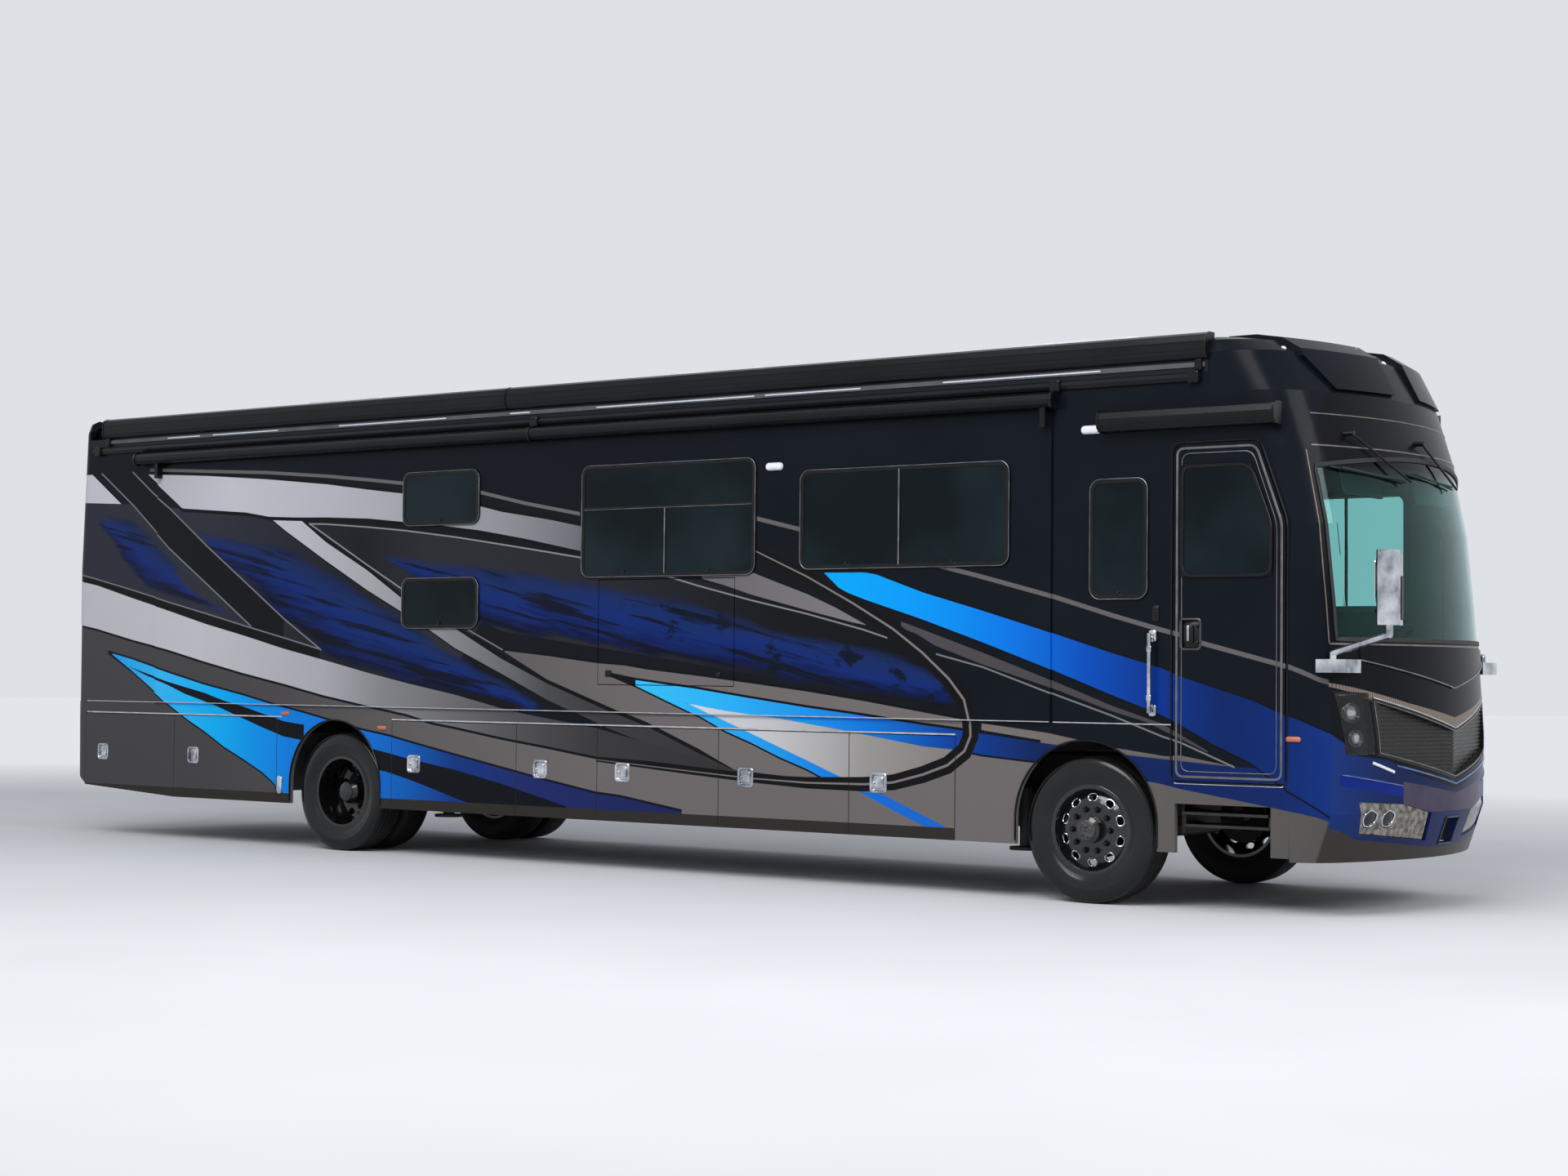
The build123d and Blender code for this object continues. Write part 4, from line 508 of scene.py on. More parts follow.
def coach_paint():
    """Dark blue-black gloss with the stripes, read from the unrolled side elevation."""
    net = Net("coach_paint", Coat_Roughness=0.18, Specular_IOR_Level=0.04, Coat_IOR=1.26)
    x, y, z = net.axes()
    x = x - NOSE_SHIFT
    depth = abs(y)
    u = x + (HALF - depth).clip() * x.math("SIGN", x)

    def lay(colour, mask, over):
        """Lay a plain colour, or one made of nodes, where the mask is 1."""
        return net.mix(mask, colour, over if isinstance(over, Wire) else linear(over))

    def band(colour, top, low, over):
        """Lay one colour, or colours along the side, between two lines over the length that they share."""
        x0, x1 = max(top[0][0], low[0][0]), min(top[-1][0], low[-1][0])
        mask = z.below(net.follow(u, top)) * z.above(net.follow(u, low)) * u.above(x0) * u.below(x1)
        if isinstance(over, list):
            a, b = over[0][0], over[-1][0]
            t = u.scaled(1 / (b - a), -a / (b - a), clamp=True)
            over = net.ramp(t, *[((s - a) / (b - a), c) for s, c in over])
        return lay(colour, mask, over)

    colour = linear(NIGHT)
    for stripe in STRIPES:
        colour = band(colour, *stripe)

    # Brush strokes: noise drawn out along a line that leans by 12 degrees
    lean = radians(12)
    along, across = u * cos(lean) - z * sin(lean), u * sin(lean) + z * cos(lean)
    broad, thin, cuts, blots = (
        net.noise(1.0, 4, net.joined(along * length, across * height, seed), 0.6)
        for length, height, seed in ((1.1, 7, 0.0), (2.6, 40, 1.0), (0.8, 15, 2.0), (3.4, 6, 3.0)))
    for top, low in BRUSHES:
        upper, lower = net.follow(u, top), net.follow(u, low)
        rise = (z - lower) / (upper - lower)
        depth_in = (upper - z).least(z - lower) / 0.13
        edge = depth_in.least(1) + broad * 2.2 + thin * 0.5 - 1.42
        mask = edge.scaled(1.9, 0.0, clamp=True) * u.above(top[0][0], 0.05) * u.below(top[-1][0], 0.1)
        colour = lay(colour, mask, net.ramp(rise * 0.7 + broad * 0.5 + thin * 0.25 - 0.2, *BRUSH_BLUES))
        black = (cuts - rise * 0.10).above(0.51, 0.07).most(blots.above(0.60, 0.06) * u.above(0.2, 0.5))
        colour = lay(colour, mask * black * 0.9, (7, 9, 16))
    for stripe in OVER:
        colour = band(colour, *stripe)
    for points, width, pin in PINS:
        gap = abs(z - net.follow(u, points))
        mask = gap.below(width / 2) * u.above(points[0][0]) * u.below(points[-1][0])
        colour = lay(colour, mask, pin)
    wide = np.interp(HOOK[:, 0], [0, 1.0, 1.5, 2.4, 3.4], [.03, .05, .06, .10, .13])
    colour = lay(colour, hook_mask(net, u, z, wide), (13, 12, 13))
    colour = lay(colour, hook_mask(net, u, z, wide * 0.14), (118, 113, 113))

    # The nose, by distance from the centre line; its lip and the groove beside it part at 0.65
    part = .65
    front = depth.below(1.2, 0.01) * x.above(5.85)
    blue_top = net.follow(depth, [(0, .80), (.5, .90), (.80, 1.00), (1.05, 1.03), (1.2, 1.16)])
    blue = net.ramp(depth / 1.2, (0.5, (13, 29, 70)), (0.75, (20, 36, 84)), (1.0, (20, 46, 106)))
    nose = lay(linear((8, 10, 14)), z.below(blue_top), blue)
    lip = net.follow(depth, [(0, .775), (.6, .855), (.66, .86)])
    # Painted reflection: the lip's blue paint is mottled with mauve-grey, standing in for gravel seen in its
    # gloss
    lip_blue_and_painted_reflection = net.mix(net.noise(5, 2), linear((44, 43, 76)), linear((86, 76, 84)))
    nose = lay(nose, z.below(lip) * depth.below(part), lip_blue_and_painted_reflection)
    nose = lay(nose, z.below(.66) * depth.below(part), (18, 32, 80))
    groove = net.follow(depth, [(.66, .80), (1.16, .875)])
    nose = lay(nose, abs(z - groove).below(.035) * depth.above(part) * depth.below(1.16), (10, 34, 116))
    chin = net.follow(depth, [(0, .42), (.3, .43), (1.0, .50), (1.2, .58)])
    nose = lay(nose, z.below(chin), (54, 51, 48))
    vee_top = net.follow(depth, [(0, 1.268), (.57, 1.36), (.944, 1.438), (1.2, 1.488)])
    vee_low = net.follow(depth, [(0, 1.186), (.54, 1.29), (.91, 1.378), (1.2, 1.464)])
    ribs = (y * 55).fract().above(0.5, 0.4)
    vee = net.mix(ribs, linear((134, 121, 110)), linear((96, 86, 78)))
    nose = lay(nose, z.below(vee_top) * z.above(vee_low), vee)
    colour = lay(colour, front, nose)
    colour = lay(colour, z.below(.46) * x.below(3.27) * (1 - front), (44, 42, 38))

    # Inner faces of the bay doors and of the entry door are plain
    bays = depth.below(1.2832, 0.001) * z.below(1.09) * x.above(-6.12) * x.below(3.27)
    colour = lay(colour, bays, (84, 85, 88))
    door = depth.below(1.265, 0.001) * z.above(.83) * z.below(3.05) * x.above(4.93)
    door = door * x.below(net.follow(z, [(2.508, 5.745), (3.030, 5.555)]))
    colour = lay(colour, door, (124, 119, 112))
    haze = net.noise(1.7, 3)
    net.give("Base Color", lay(colour, haze * 0.03, (70, 80, 92)))
    net.give("Coat Weight", haze.scaled(0.16, 0.22))
    return net.give("Roughness", haze.scaled(0.15, 0.28)).material


def roof_skin():
    """White roof sheet; its sides under the awnings and along the eaves are the coach's black."""
    net = Net("roof_skin", Specular_IOR_Level=0.2)
    x, y, z = net.axes()
    cloud = net.noise(3, 4)
    top = z.above(3.585) * abs(y).below(1.194)
    white = net.ramp(cloud, (0.35, (198, 199, 200)), (0.65, (214, 214, 213)))
    net.give("Base Color", net.mix(top, linear(NIGHT), white))
    return net.give("Roughness", cloud * 0.2 + 0.3).material


def window_glass():
    """Near-black privacy glass; the driver's own window is clear."""
    net = Net("window_glass", IOR=1.5, Specular_IOR_Level=0.14)
    x, y, z = net.axes()
    cloud = net.noise(0.9, 3)
    clear = x.above(4.3) * y.above(0)
    dark = net.ramp(cloud, (0.42, (4, 14, 18)), (0.64, (20, 34, 39)))
    net.give("Base Color", net.mix(clear, dark, linear((70, 120, 118))))
    return net.give("Alpha", 0.93 - clear * 0.80).give("Roughness", cloud * 0.03 + 0.01).material


def screen_glass():
    """Green-tinted laminated glass, darker in a band along its top."""
    net = Net("screen_glass", IOR=1.25, Transmission_Weight=1.0)
    x, y, z = net.axes()
    shade = ((z - 2.84) / 0.06).clip()
    net.give("Base Color", net.mix(shade, linear((142, 226, 220)), linear((24, 34, 36))))
    return net.give("Roughness", net.noise(1.2, 2) * 0.02).material


def tyre_rubber():
    """Black rubber, dressed to a shine on the outer sidewalls and drier on the tread."""
    net = Net("tyre_rubber", Specular_IOR_Level=0.4)
    x, y, z = net.axes()
    dust = net.noise(7, 4)
    outer = abs(y).above(1.206, 0.02)
    net.give("Base Color", net.ramp(dust, (0.35, (8, 8, 9)), (0.7, (15, 15, 15))))
    net.give("Roughness", net.mix(outer, dust * 0.2 + 0.55, dust * 0.14 + 0.10))
    return net.bump(net.noise(220, 2), 0.0006, 0.35).material


def chrome():
    """Bright plate with faint smears."""
    net = Net("chrome_trim", Metallic=1.0)
    smear = net.noise(9, 4)
    plate = net.ramp(smear, (0.32, (128, 133, 142)), (0.5, (188, 191, 196)), (0.68, (226, 228, 232)))
    net.give("Base Color", plate)
    return net.give("Roughness", smear * 0.10 + 0.02).material


def lit(name, colour, strength):
    """A lamp's own light behind its lens."""
    net = Net(name, Roughness=0.25, Emission_Strength=strength)
    paler = tuple(min(255, c + 18) for c in colour)
    net.give("Base Color", net.ramp(net.noise(60, 2), (0.3, colour), (0.7, paler)))
    return net.give("Emission Color", linear(colour)).material


def lens(name, colour):
    """Moulded lens with a fine ribbed optic, ninety ribs to the metre."""
    net = Net(name, IOR=1.5, Roughness=0.08)
    x, y, z = net.axes()
    rib = (z * 90).fract()
    darker = tuple(int(c * 0.72) for c in colour)
    net.give("Base Color", net.ramp(rib, (0.0, colour), (0.5, darker), (1.0, colour)))
    return net.bump(rib, 0.001, 0.4).material


def floor_wood():
    """Grey-brown planks, 0.15 m wide, with grain along the coach; below the stepwell's tread it is black."""
    net = Net("floor_wood")
    x, y, z = net.axes()
    grain = net.noise(1.0, 4, net.joined(x * 2, y * 40, z))
    seam = (y / 0.15).fract().below(0.03, 0.01)
    wood = net.mix(seam, net.ramp(grain, (0.3, (96, 84, 72)), (0.7, (142, 126, 108))), linear((40, 34, 28)))
    net.give("Base Color", net.mix(z.below(.833, 0.001), wood, linear((16, 16, 17))))
    return net.give("Roughness", grain * 0.2 + 0.4).bump(grain, 0.0005).material


def leather():
    """Warm grey hide: pebbled cells and soft creases."""
    net = Net("seat_leather", Sheen_Weight=0.1)
    cells = net.node("ShaderNodeTexVoronoi", {"Vector": net.place, "Scale": 260.0}, out="Distance")
    crease = net.noise(14, 4)
    net.give("Base Color", net.ramp(crease, (0.35, (70, 62, 56)), (0.7, (98, 88, 80))))
    return net.give("Roughness", crease * 0.2 + 0.45).bump(cells + crease * 0.6, 0.0012, 0.5).material


def grille_dark():
    """Dark bronze-grey mesh of small diamonds."""
    net = Net("grille_dark", Metallic=0.3)
    x, y, z = net.axes()
    a, b = (y + z) * 62, (y - z) * 62
    mesh = abs(a.fract() - 0.5).most(abs(b.fract() - 0.5)).above(0.40, 0.06)
    net.give("Base Color", net.mix(mesh, linear((12, 11, 10)), linear((40, 37, 33))))
    return net.give("Roughness", 0.42 - mesh * 0.16).bump(mesh, 0.003, 0.5).material


FINISH = {
    "coach_paint": coach_paint(), "roof_skin": roof_skin(), "window_glass": window_glass(),
    "screen_glass": screen_glass(), "chrome_trim": chrome(), "grille_dark": grille_dark(),
    "tyre_rubber": tyre_rubber(), "floor_wood": floor_wood(), "seat_leather": leather(),
    "lamp_red": lens("lamp_red", (150, 12, 14)),
    "awning_black": plain("awning_black", (10, 12, 15), (16, 18, 22), (0.22, 0.36), 2,
                          Specular_IOR_Level=0.2),
    "wheel_black": plain("wheel_black", (9, 9, 10), (14, 14, 16), (0.08, 0.18), 9,
                         Coat_Weight=0.4, Coat_Roughness=0.03),
    "bay_metal": plain("bay_metal", (150, 151, 154), (176, 177, 180), (0.25, 0.4), 4, Metallic=0.8),
}
for name, *look in (
        ("lamp_clear", (26, 28, 32), (40, 42, 46), (0.08, 0.2), 20),
        ("frame_steel", (18, 18, 19), (30, 29, 28), (0.4, 0.6), 5, 0.0006, 90),
        ("axle_iron", (24, 24, 25), (38, 36, 34), (0.5, 0.7), 8, 0.001, 120),
        ("engine_iron", (52, 54, 58), (74, 74, 74), (0.45, 0.7), 8, 0.001, 90),
        ("unit_plastic", (196, 197, 198), (212, 212, 211), (0.4, 0.55), 5, 0.0005, 200),
        ("tank_plastic", (30, 31, 33), (44, 44, 45), (0.5, 0.65), 5, 0.0005, 150),
        ("dash_plastic", (28, 27, 27), (40, 38, 37), (0.5, 0.65), 5, 0.0006, 420),
        ("bag_rubber", (18, 18, 19), (28, 28, 28), (0.6, 0.8), 9, 0.0008, 90)):
    FINISH[name] = plain(name, *look)
for part in frame["record"]["subparts"]:
    NODES[part["node"]].data.materials[0] = FINISH[part["material_slot"]]


# Placing shapes. Bars and mouldings stand ON_WALL off the face that carries them
ON_WALL = 0.0002


def stacked(origin, right, up, out, levels, ring=False):
    """Rounded rectangles (width, height, radius, distance along out) round an origin."""
    origin, right, up, out = (np.asarray(v, float) for v in (origin, right, up, out))
    loops = []
    for width, height, radius, reach in levels:
        flat = rounded(width, height, radius)
        loops.append(origin + flat[:, :1] * right + flat[:, 1:] * up + reach * out)
    return lattice(np.stack(loops), around=True, along=ring, ends=not ring)


def pad(width, height, radius, low, high, *crown):
    """Levels of a block with upright sides from low to high, then those of its crown."""
    return [(width, height, radius, low), (width, height, radius, high), *crown]


def side_stack(x, z, levels, hand, face=HALF, ring=False):
    """Rounded rectangles stacked outwards on a side of the coach."""
    return stacked((x + NOSE_SHIFT, hand * face, z), (1, 0, 0), (0, 0, 1), (0, hand, 0), levels, ring)


def end_stack(x, y, z, levels, way=-1):
    """Rounded rectangles stacked to the rear, or to the front where way is 1."""
    return stacked((x + NOSE_SHIFT, y, z), (0, 1, 0), (0, 0, 1), (way, 0, 0), levels)


def side_turned(profile, x, z, hand, count, face=HALF):
    """A profile turned about an axis that stands out of a side."""
    return turned(profile, (x + NOSE_SHIFT, hand * face, z), (0, hand, 0), count)


def strip(x, z, low, high, hand, face=HALF, edge=0.002):
    """Flat bar on a side between pairs of limits, standing from low to high, its outer edges eased."""
    w, h = x[1] - x[0], z[1] - z[0]
    levels = [(w, h, edge, low), (w, h, edge, high - edge), (w - edge, h - edge, edge, high)]
    return side_stack(sum(x) / 2, sum(z) / 2, levels, hand, face)


# The nose as a surface: height, reach and half width, with corner arcs and one wide arc across
NOSE_ROWS = np.array([(.353, 6.240, HALF), (.660, 6.345, HALF), (1.140, 6.350, HALF), (1.620, 6.318, HALF),
                      (2.000, 6.288, HALF), (2.500, 6.235, HALF), (3.000, 6.130, HALF), (3.360, 6.015, HALF),
                      (3.625, 5.865, 1.280), (3.705, 5.735, 1.250), (3.735, 5.555, 1.195)])
NOSE_CORNER, NOSE_SWEEP = 0.36, 2.6


def on_nose(y, z, out):
    """Points of the nose at (y, z), moved out along its normal: wide arc, then a corner arc past its end."""
    y, z = np.broadcast_arrays(np.asarray(y, float), np.asarray(z, float))

    def surface(y, z):
        reach = np.interp(z, NOSE_ROWS[:, 0], NOSE_ROWS[:, 1])
        half = np.interp(z, NOSE_ROWS[:, 0], NOSE_ROWS[:, 2])
        cy = half - NOSE_CORNER
        cx = reach - NOSE_SWEEP + np.sqrt((NOSE_SWEEP - NOSE_CORNER) ** 2 - cy ** 2)
        join = cy * NOSE_SWEEP / (NOSE_SWEEP - NOSE_CORNER)
        wide = reach - NOSE_SWEEP + np.sqrt(NOSE_SWEEP ** 2 - y ** 2)
        corner = cx + np.sqrt(np.clip(NOSE_CORNER ** 2 - (np.abs(y) - cy) ** 2, 1e-9, None))
        return np.stack([np.where(np.abs(y) < join, wide, corner) + NOSE_SHIFT, y, z], axis=-1)

    step = 1e-4
    sideways = surface(y + step, z) - surface(y - step, z)
    normal = np.cross(sideways, surface(y, z + step) - surface(y, z - step))
    normal /= np.linalg.norm(normal, axis=-1)[..., None]
    return surface(y, z) + normal * np.asarray(out, float)[..., None]


def nose_line(points, section, out, closed=False):
    """A section carried along a broken line of (y, z) laid on the nose."""
    points = np.asarray(points, float)
    if closed:
        points = np.vstack([points, points[:1]])
    lengths = np.r_[0, np.cumsum(np.linalg.norm(np.diff(points, axis=0), axis=1))]
    step = 0.03
    t = np.linspace(0, lengths[-1], max(int(lengths[-1] / step), 2) + 1)
    if closed:
        t = t[:-1]
    y, z = np.interp(t, lengths, points[:, 0]), np.interp(t, lengths, points[:, 1])
    return tube(on_nose(y, z, out), section, closed, up=(1, 0, 0.02))


def nose_patch(left, right, z, out):
    """Open sheet on the nose that runs at each height from the left line to the right one, each (z, y)."""
    heights = np.linspace(*z, 20)[:, None]
    a, b = np.interp(heights, *left), np.interp(heights, *right)
    return lattice(on_nose(a + (b - a) * np.linspace(0, 1, 14), heights, out))


def nose_turned(profile, y, z, out, count=28):
    """A profile turned about the nose's normal at (y, z)."""
    base = on_nose(y, z, out)
    return turned(profile, base, on_nose(y, z, 1.0) - base, count)


def nose_ring(y, z, radius, out, thick):
    """Ring of round wire on the nose."""
    t = np.arange(32) * 2 * pi / 32
    path = on_nose(y + radius * np.cos(t), z + radius * np.sin(t), out)
    return tube(path, wire(thick), closed=True, up=(1, 0, 0.1))


def thicken(obj, thickness):
    """Give a sheet its thickness, inwards."""
    shell = obj.modifiers.new("thickness", "SOLIDIFY")
    shell.thickness, shell.offset = thickness, -1


def pillow(centre, half, power, turn=Matrix.Identity(4)):
    """Crowned block: a sphere whose sines and cosines are raised to a power, scaled, turned and moved."""
    rows, cols, pole = 24, 36, pi / 2 - 1e-3
    a = np.linspace(-pole, pole, rows)[:, None]
    b = np.arange(cols) * 2 * pi / cols

    def swell(v, p):
        return np.sign(v) * np.abs(v) ** p

    points = np.stack([swell(np.cos(a), power) * swell(np.cos(b), power) * half[0],
                       swell(np.cos(a), power) * swell(np.sin(b), power) * half[1],
                       swell(np.sin(a), 0.6) * half[2] + 0 * b], axis=-1)
    place = np.array(Matrix.Translation(centre) @ turn)
    return lattice(points @ place[:3, :3].T + place[:3, 3], around=True, ends=True)


# Finishes of the added pieces, each with its slot
TRIM = plain("trim_black", (10, 11, 12), (16, 16, 18), (0.16, 0.28), 12, Specular_IOR_Level=0.25)
LINER = plain("liner_cloth", (92, 88, 82), (108, 103, 95), (0.7, 0.85), 3, 0.0006, 260)
SMOKED = plain("smoked_chrome", (96, 92, 88), (168, 162, 154), (0.05, 0.16), 26, Metallic=1.0)
BLACK, FRAME, LINING = ("awning_black", TRIM), ("window_glass", TRIM), ("seat_leather", LINER)
CHROME, WHEEL, RUBBER, LEATHER, DASH = ((slot, FINISH[slot]) for slot in (
    "chrome_trim", "wheel_black", "tyre_rubber", "seat_leather", "dash_plastic"))
NUT_STEEL = "wheel_black", plain("nut_steel", (18, 18, 19), (30, 30, 32), (0.16, 0.3), 30, Metallic=0.5)
CAP_STEEL = "wheel_black", plain("cap_steel", (52, 51, 53), (96, 95, 97), (0.28, 0.42), 60, Metallic=0.8)
# Pale grey bead; round the windows and on the hood's crease it is painted highlight
BEAD = "chrome_trim", plain("frame_bead", (96, 99, 102), (132, 134, 136), (0.18, 0.3), 8, Metallic=0.7)
SEAL = "awning_black", plain("seal_rubber", (16, 16, 17), (24, 24, 24), (0.5, 0.65), 20, 0.0004, 200)
BRUSHED = ("chrome_trim",
           plain("bright_moulding", (168, 170, 174), (192, 194, 198), (0.25, 0.4), 14, Metallic=0.4))
CLEAR = "lamp_clear", plain("clear_lens", (16, 18, 20), (24, 26, 28), (0.02, 0.05), 4, Alpha=0.42)
BULB = "lamp_clear", lit("bulb_glass", (204, 206, 210), 0.16)
DARK_GLASS = plain("dark_lens", (18, 20, 26), (30, 34, 44), (0.04, 0.10), 9)

# Tyres: bead, sidewall with two ribs, shoulder, and five tread ribs between four grooves
SIDEWALL = [(.2875, .100), (.296, .112), (.310, .117), (.322, .119), (.326, .1215), (.331, .1215),
            (.335, .124), (.352, .129), (.372, .1345), (.392, .1375), (.398, .1392), (.404, .1392),
            (.410, .1384), (.428, .1378), (.446, .1355), (.458, .131), (.468, .1265), (.470, .1225),
            (.4755, .122), (.4815, .117), (.4848, .108)]
TREAD_HALF, TREAD_R = 0.104, 0.4893
GROOVES, GROOVE_HALF, GROOVE_DEEP = (.064, .022, -.022, -.064), 0.0045, 0.013


def tread_profile():
    """Tread between the shoulders: its radius falls by 0.35 of the squared offset, and in each groove."""
    w, drop = [TREAD_HALF], [0]
    for groove in GROOVES:
        w += [groove + share * GROOVE_HALF for share in (1, 0.6, -0.6, -1)]
        drop += [0, GROOVE_DEEP, GROOVE_DEEP, 0]
    w = np.array(w + [-TREAD_HALF])
    return list(zip(TREAD_R - 0.35 * w ** 2 - np.array(drop + [0]), w))


TYRE = SIDEWALL + tread_profile() + [(r, -w) for r, w in SIDEWALL[::-1]]
FLANGE = [(.2745, .108), (.2745, .1125), (.285, .1165), (.299, .1165), (.3045, .113), (.3045, .106),
          (.290, .1075)]
REAR_CAP = [(.074, 1.146), (.078, 1.149), (.078, 1.156), (.066, 1.163), (.030, 1.166), (.0, 1.166)]
FRONT_CAP = [(.064, .160), (.067, .163), (.067, .170), (.056, .175), (.024, .177), (.0, .177)]
FRONT_WHEEL_Y, REAR_WHEELS_Y = 1.095, (1.090, .760)
BOLT_R = 0.1425


def wheel_ring(profile, x, y, hand, count=96):
    """Closed section turned about a wheel's axis."""
    points = turned(profile, (x, hand * y, HUB_Z), (0, hand, 0), count)[0]
    return lattice(points.reshape(len(profile), count, 3), around=True, along=True)


def nuts(axle, y, hand):
    """Ten six-sided nuts with washers and rounded tops, on their bolt circle."""
    washer = [(.0235, -.004), (.0235, .003), (.021, .005)]
    nut = [(.0185, .004), (.0185, .024), (.0135, .033), (.006, .034)]
    parts = []
    for t in np.arange(10) * pi / 5:
        centre = (axle + BOLT_R * cos(t), hand * y, HUB_Z + BOLT_R * sin(t))
        parts += [turned(washer, centre, (0, hand, 0), 14), turned(nut, centre, (0, hand, 0), 6)]
    return parts


def hand_hole_edges(axle, hand):
    """Polished edge of each hand hole: an oval wire that follows the disc's cone."""
    flat = rounded(.050, .068, .0245, 5)
    radial, around = .218 + flat[:, 0], flat[:, 1]
    y = hand * (FRONT_WHEEL_Y + .0855 - (radial - .214).clip(0) * 26 / 48)
    parts = []
    for t in (np.arange(10) + 0.5) * pi / 5:
        path = np.stack([axle + radial * cos(t) - around * sin(t), y,
                         HUB_Z + radial * sin(t) + around * cos(t)], axis=1)
        parts.append(tube(path, wire(.0055), closed=True))
    return parts


for name, hand in HANDS.items():
    axle, body = AXLES["front"], f"front_wheel_{name}"
    tyre = piece(f"tyre_front_{name}", [wheel_ring(TYRE, axle, FRONT_WHEEL_Y, hand)], body, RUBBER, 28)
    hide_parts(f"front_tyre_{name}")
    piece(f"nuts_front_{name}", nuts(axle, 1.187, hand), body, NUT_STEEL, 30)
    piece(f"hand_hole_edges_{name}", hand_hole_edges(axle, hand), body, CHROME)
    piece(f"rim_edge_front_{name}", [wheel_ring(FLANGE, axle, FRONT_WHEEL_Y, hand, 72)], body, WHEEL)
    cap = turned(FRONT_CAP, (axle, hand * FRONT_WHEEL_Y, HUB_Z), (0, hand, 0), 36)
    piece(f"hub_cap_front_{name}", [cap], body, CAP_STEEL)
    axle, body = AXLES["rear"], f"rear_wheels_{name}"
    tyres = [wheel_ring(TYRE, axle, y, hand) for y in REAR_WHEELS_Y]
    tyre = piece(f"tyres_rear_{name}", tyres, body, RUBBER, 28)
    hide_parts(f"rear_tyres_{name}")
    piece(f"nuts_rear_{name}", nuts(axle, .945, hand), body, WHEEL, 30)
    piece(f"hub_cap_rear_{name}", [turned(REAR_CAP, (axle, 0, HUB_Z), (0, hand, 0), 36)], body, WHEEL)

# Luggage doors: a latch on each, a quarter of a metre in from its rear seam
SEAMS = {"curb": (-6.130, -4.905, -2.205, -.828, .011, 1.192, 2.372),
         "street": (-6.130, -4.905, -2.205, -.828, 1.192)}
LATCH_IN, LATCH_Z = 0.2535, 0.75


def latch(x, hand):
    """Bright bezel round a shallow tray, with a paddle and a lock barrel."""
    bezel = pad(.112, .108, .016, -.010, .002, (.118, .114, .018, .0055), (.136, .132, .022, .0065),
                (.146, .142, .026, .003), (.146, .142, .026, .0004), (.134, .130, .022, -.010))
    tray = [(.134, .130, .022, -.0115), (.120, .116, .018, -.0085)]
    paddle = pad(.062, .080, .010, -.009, .0005, (.054, .072, .009, .004), (.030, .048, .008, .0015))
    lock = [(.008, -.006), (.008, .004), (.0055, .0055), (.0, .0055)]
    return [side_stack(x, LATCH_Z, bezel, hand, ring=True), side_stack(x, LATCH_Z, tray, hand),
            side_stack(x + .008, LATCH_Z, paddle, hand), side_turned(lock, x - .042, LATCH_Z, hand, 16)]


for name, hand in HANDS.items():
    for number, seam in enumerate(SEAMS[name], 1):
        piece(f"latch_{name}_{number}", latch(seam + LATCH_IN, hand), f"{name}_bay_door_{number}", CHROME, 35)

# Windows by body and side: panes and bars as limits in x and z, latches, and the pale beads on the bars,
# which like the beads round the panes are painted highlight
WINDOW_CORNER = 0.075
WINDOWS = {
    "curb_room": ("curb_slide", SLIDE_FACE, {CURB: (
        [((-.147, 1.529), (2.239, 3.092)), ((1.943, 3.704), (2.267, 2.978)),
         ((-2.085, -1.240), (2.686, 3.117)), ((-2.085, -1.240), (1.852, 2.255))],
        [((-.14, 1.52), (2.750, 2.774)), ((.664, .688), (2.25, 2.762)), ((2.788, 2.812), (2.275, 2.97))],
        [(.28, 2.262), (1.10, 2.262), (2.35, 2.288), (3.25, 2.288), (-1.66, 2.708), (-1.66, 1.873)],
        [((.671, .681), (2.26, 2.752), .0150), ((2.795, 2.805), (2.285, 2.96), .0150),
         ((-.12, 1.50), (2.752, 2.756), .0146)])}),
    "street_room": ("street_slide", SLIDE_FACE, {STREET: (
        [((.250, 1.450), (2.250, 2.990)), ((1.950, 3.150), (2.250, 2.990))],
        [((.838, .862), (2.26, 2.98)), ((2.538, 2.562), (2.26, 2.98))], [], [])}),
    "walls": ("coach", HALF, {
        CURB: ([((4.330, 4.758), (2.029, 2.823))], [], [(4.544, 2.052)], []),
        STREET: ([((4.500, 5.480), (2.020, 2.860)), ((-5.300, -4.300), (2.350, 2.950)),
                  ((-2.600, -2.050), (2.450, 2.950))], [((4.978, 5.002), (2.03, 2.85))], [], [])}),
}


def frame_ring(x, z, hand, face):
    """Window surround: a ring that laps the glass and the wall, crowned at its middle."""
    w, h = x[1] - x[0], z[1] - z[0]
    wide, lap, glass, proud = 0.026, 0.008, 0.0082, 0.007
    inner = w - 2 * wide, h - 2 * wide, WINDOW_CORNER - wide
    outer = w + 2 * lap, h + 2 * lap, WINDOW_CORNER + lap
    levels = [(*inner, glass), (*inner, glass + proud / 2),
              (w - wide, h - wide, WINDOW_CORNER - wide / 2, glass + proud),
              (w + lap, h + lap, WINDOW_CORNER, glass + proud * 0.7), (*outer, 0.002), (*outer, 0.0003)]
    return side_stack(sum(x) / 2, sum(z) / 2, levels, hand, face, ring=True)


def highlight_bead_ring(x, z, hand, face):
    """Fine pale bead on the outer edge of a window's surround, a painted highlight along the frame's edge."""
    flat = rounded(x[1] - x[0] + .004, z[1] - z[0] + .004, WINDOW_CORNER + .002, 8)
    path = on_side(flat + (sum(x) / 2, sum(z) / 2), .0145, hand, face)
    return tube(path, wire(.0028), closed=True)


def window_latch(x, z, hand, face):
    """Small lever on a sash's lower edge."""
    plate = pad(.052, .020, .006, .008, .014, (.044, .014, .005, .017))
    lever = pad(.018, .026, .006, .008, .019, (.012, .020, .005, .021))
    return [side_stack(x, z, plate, hand, face), side_stack(x, z + .012, lever, hand, face)]


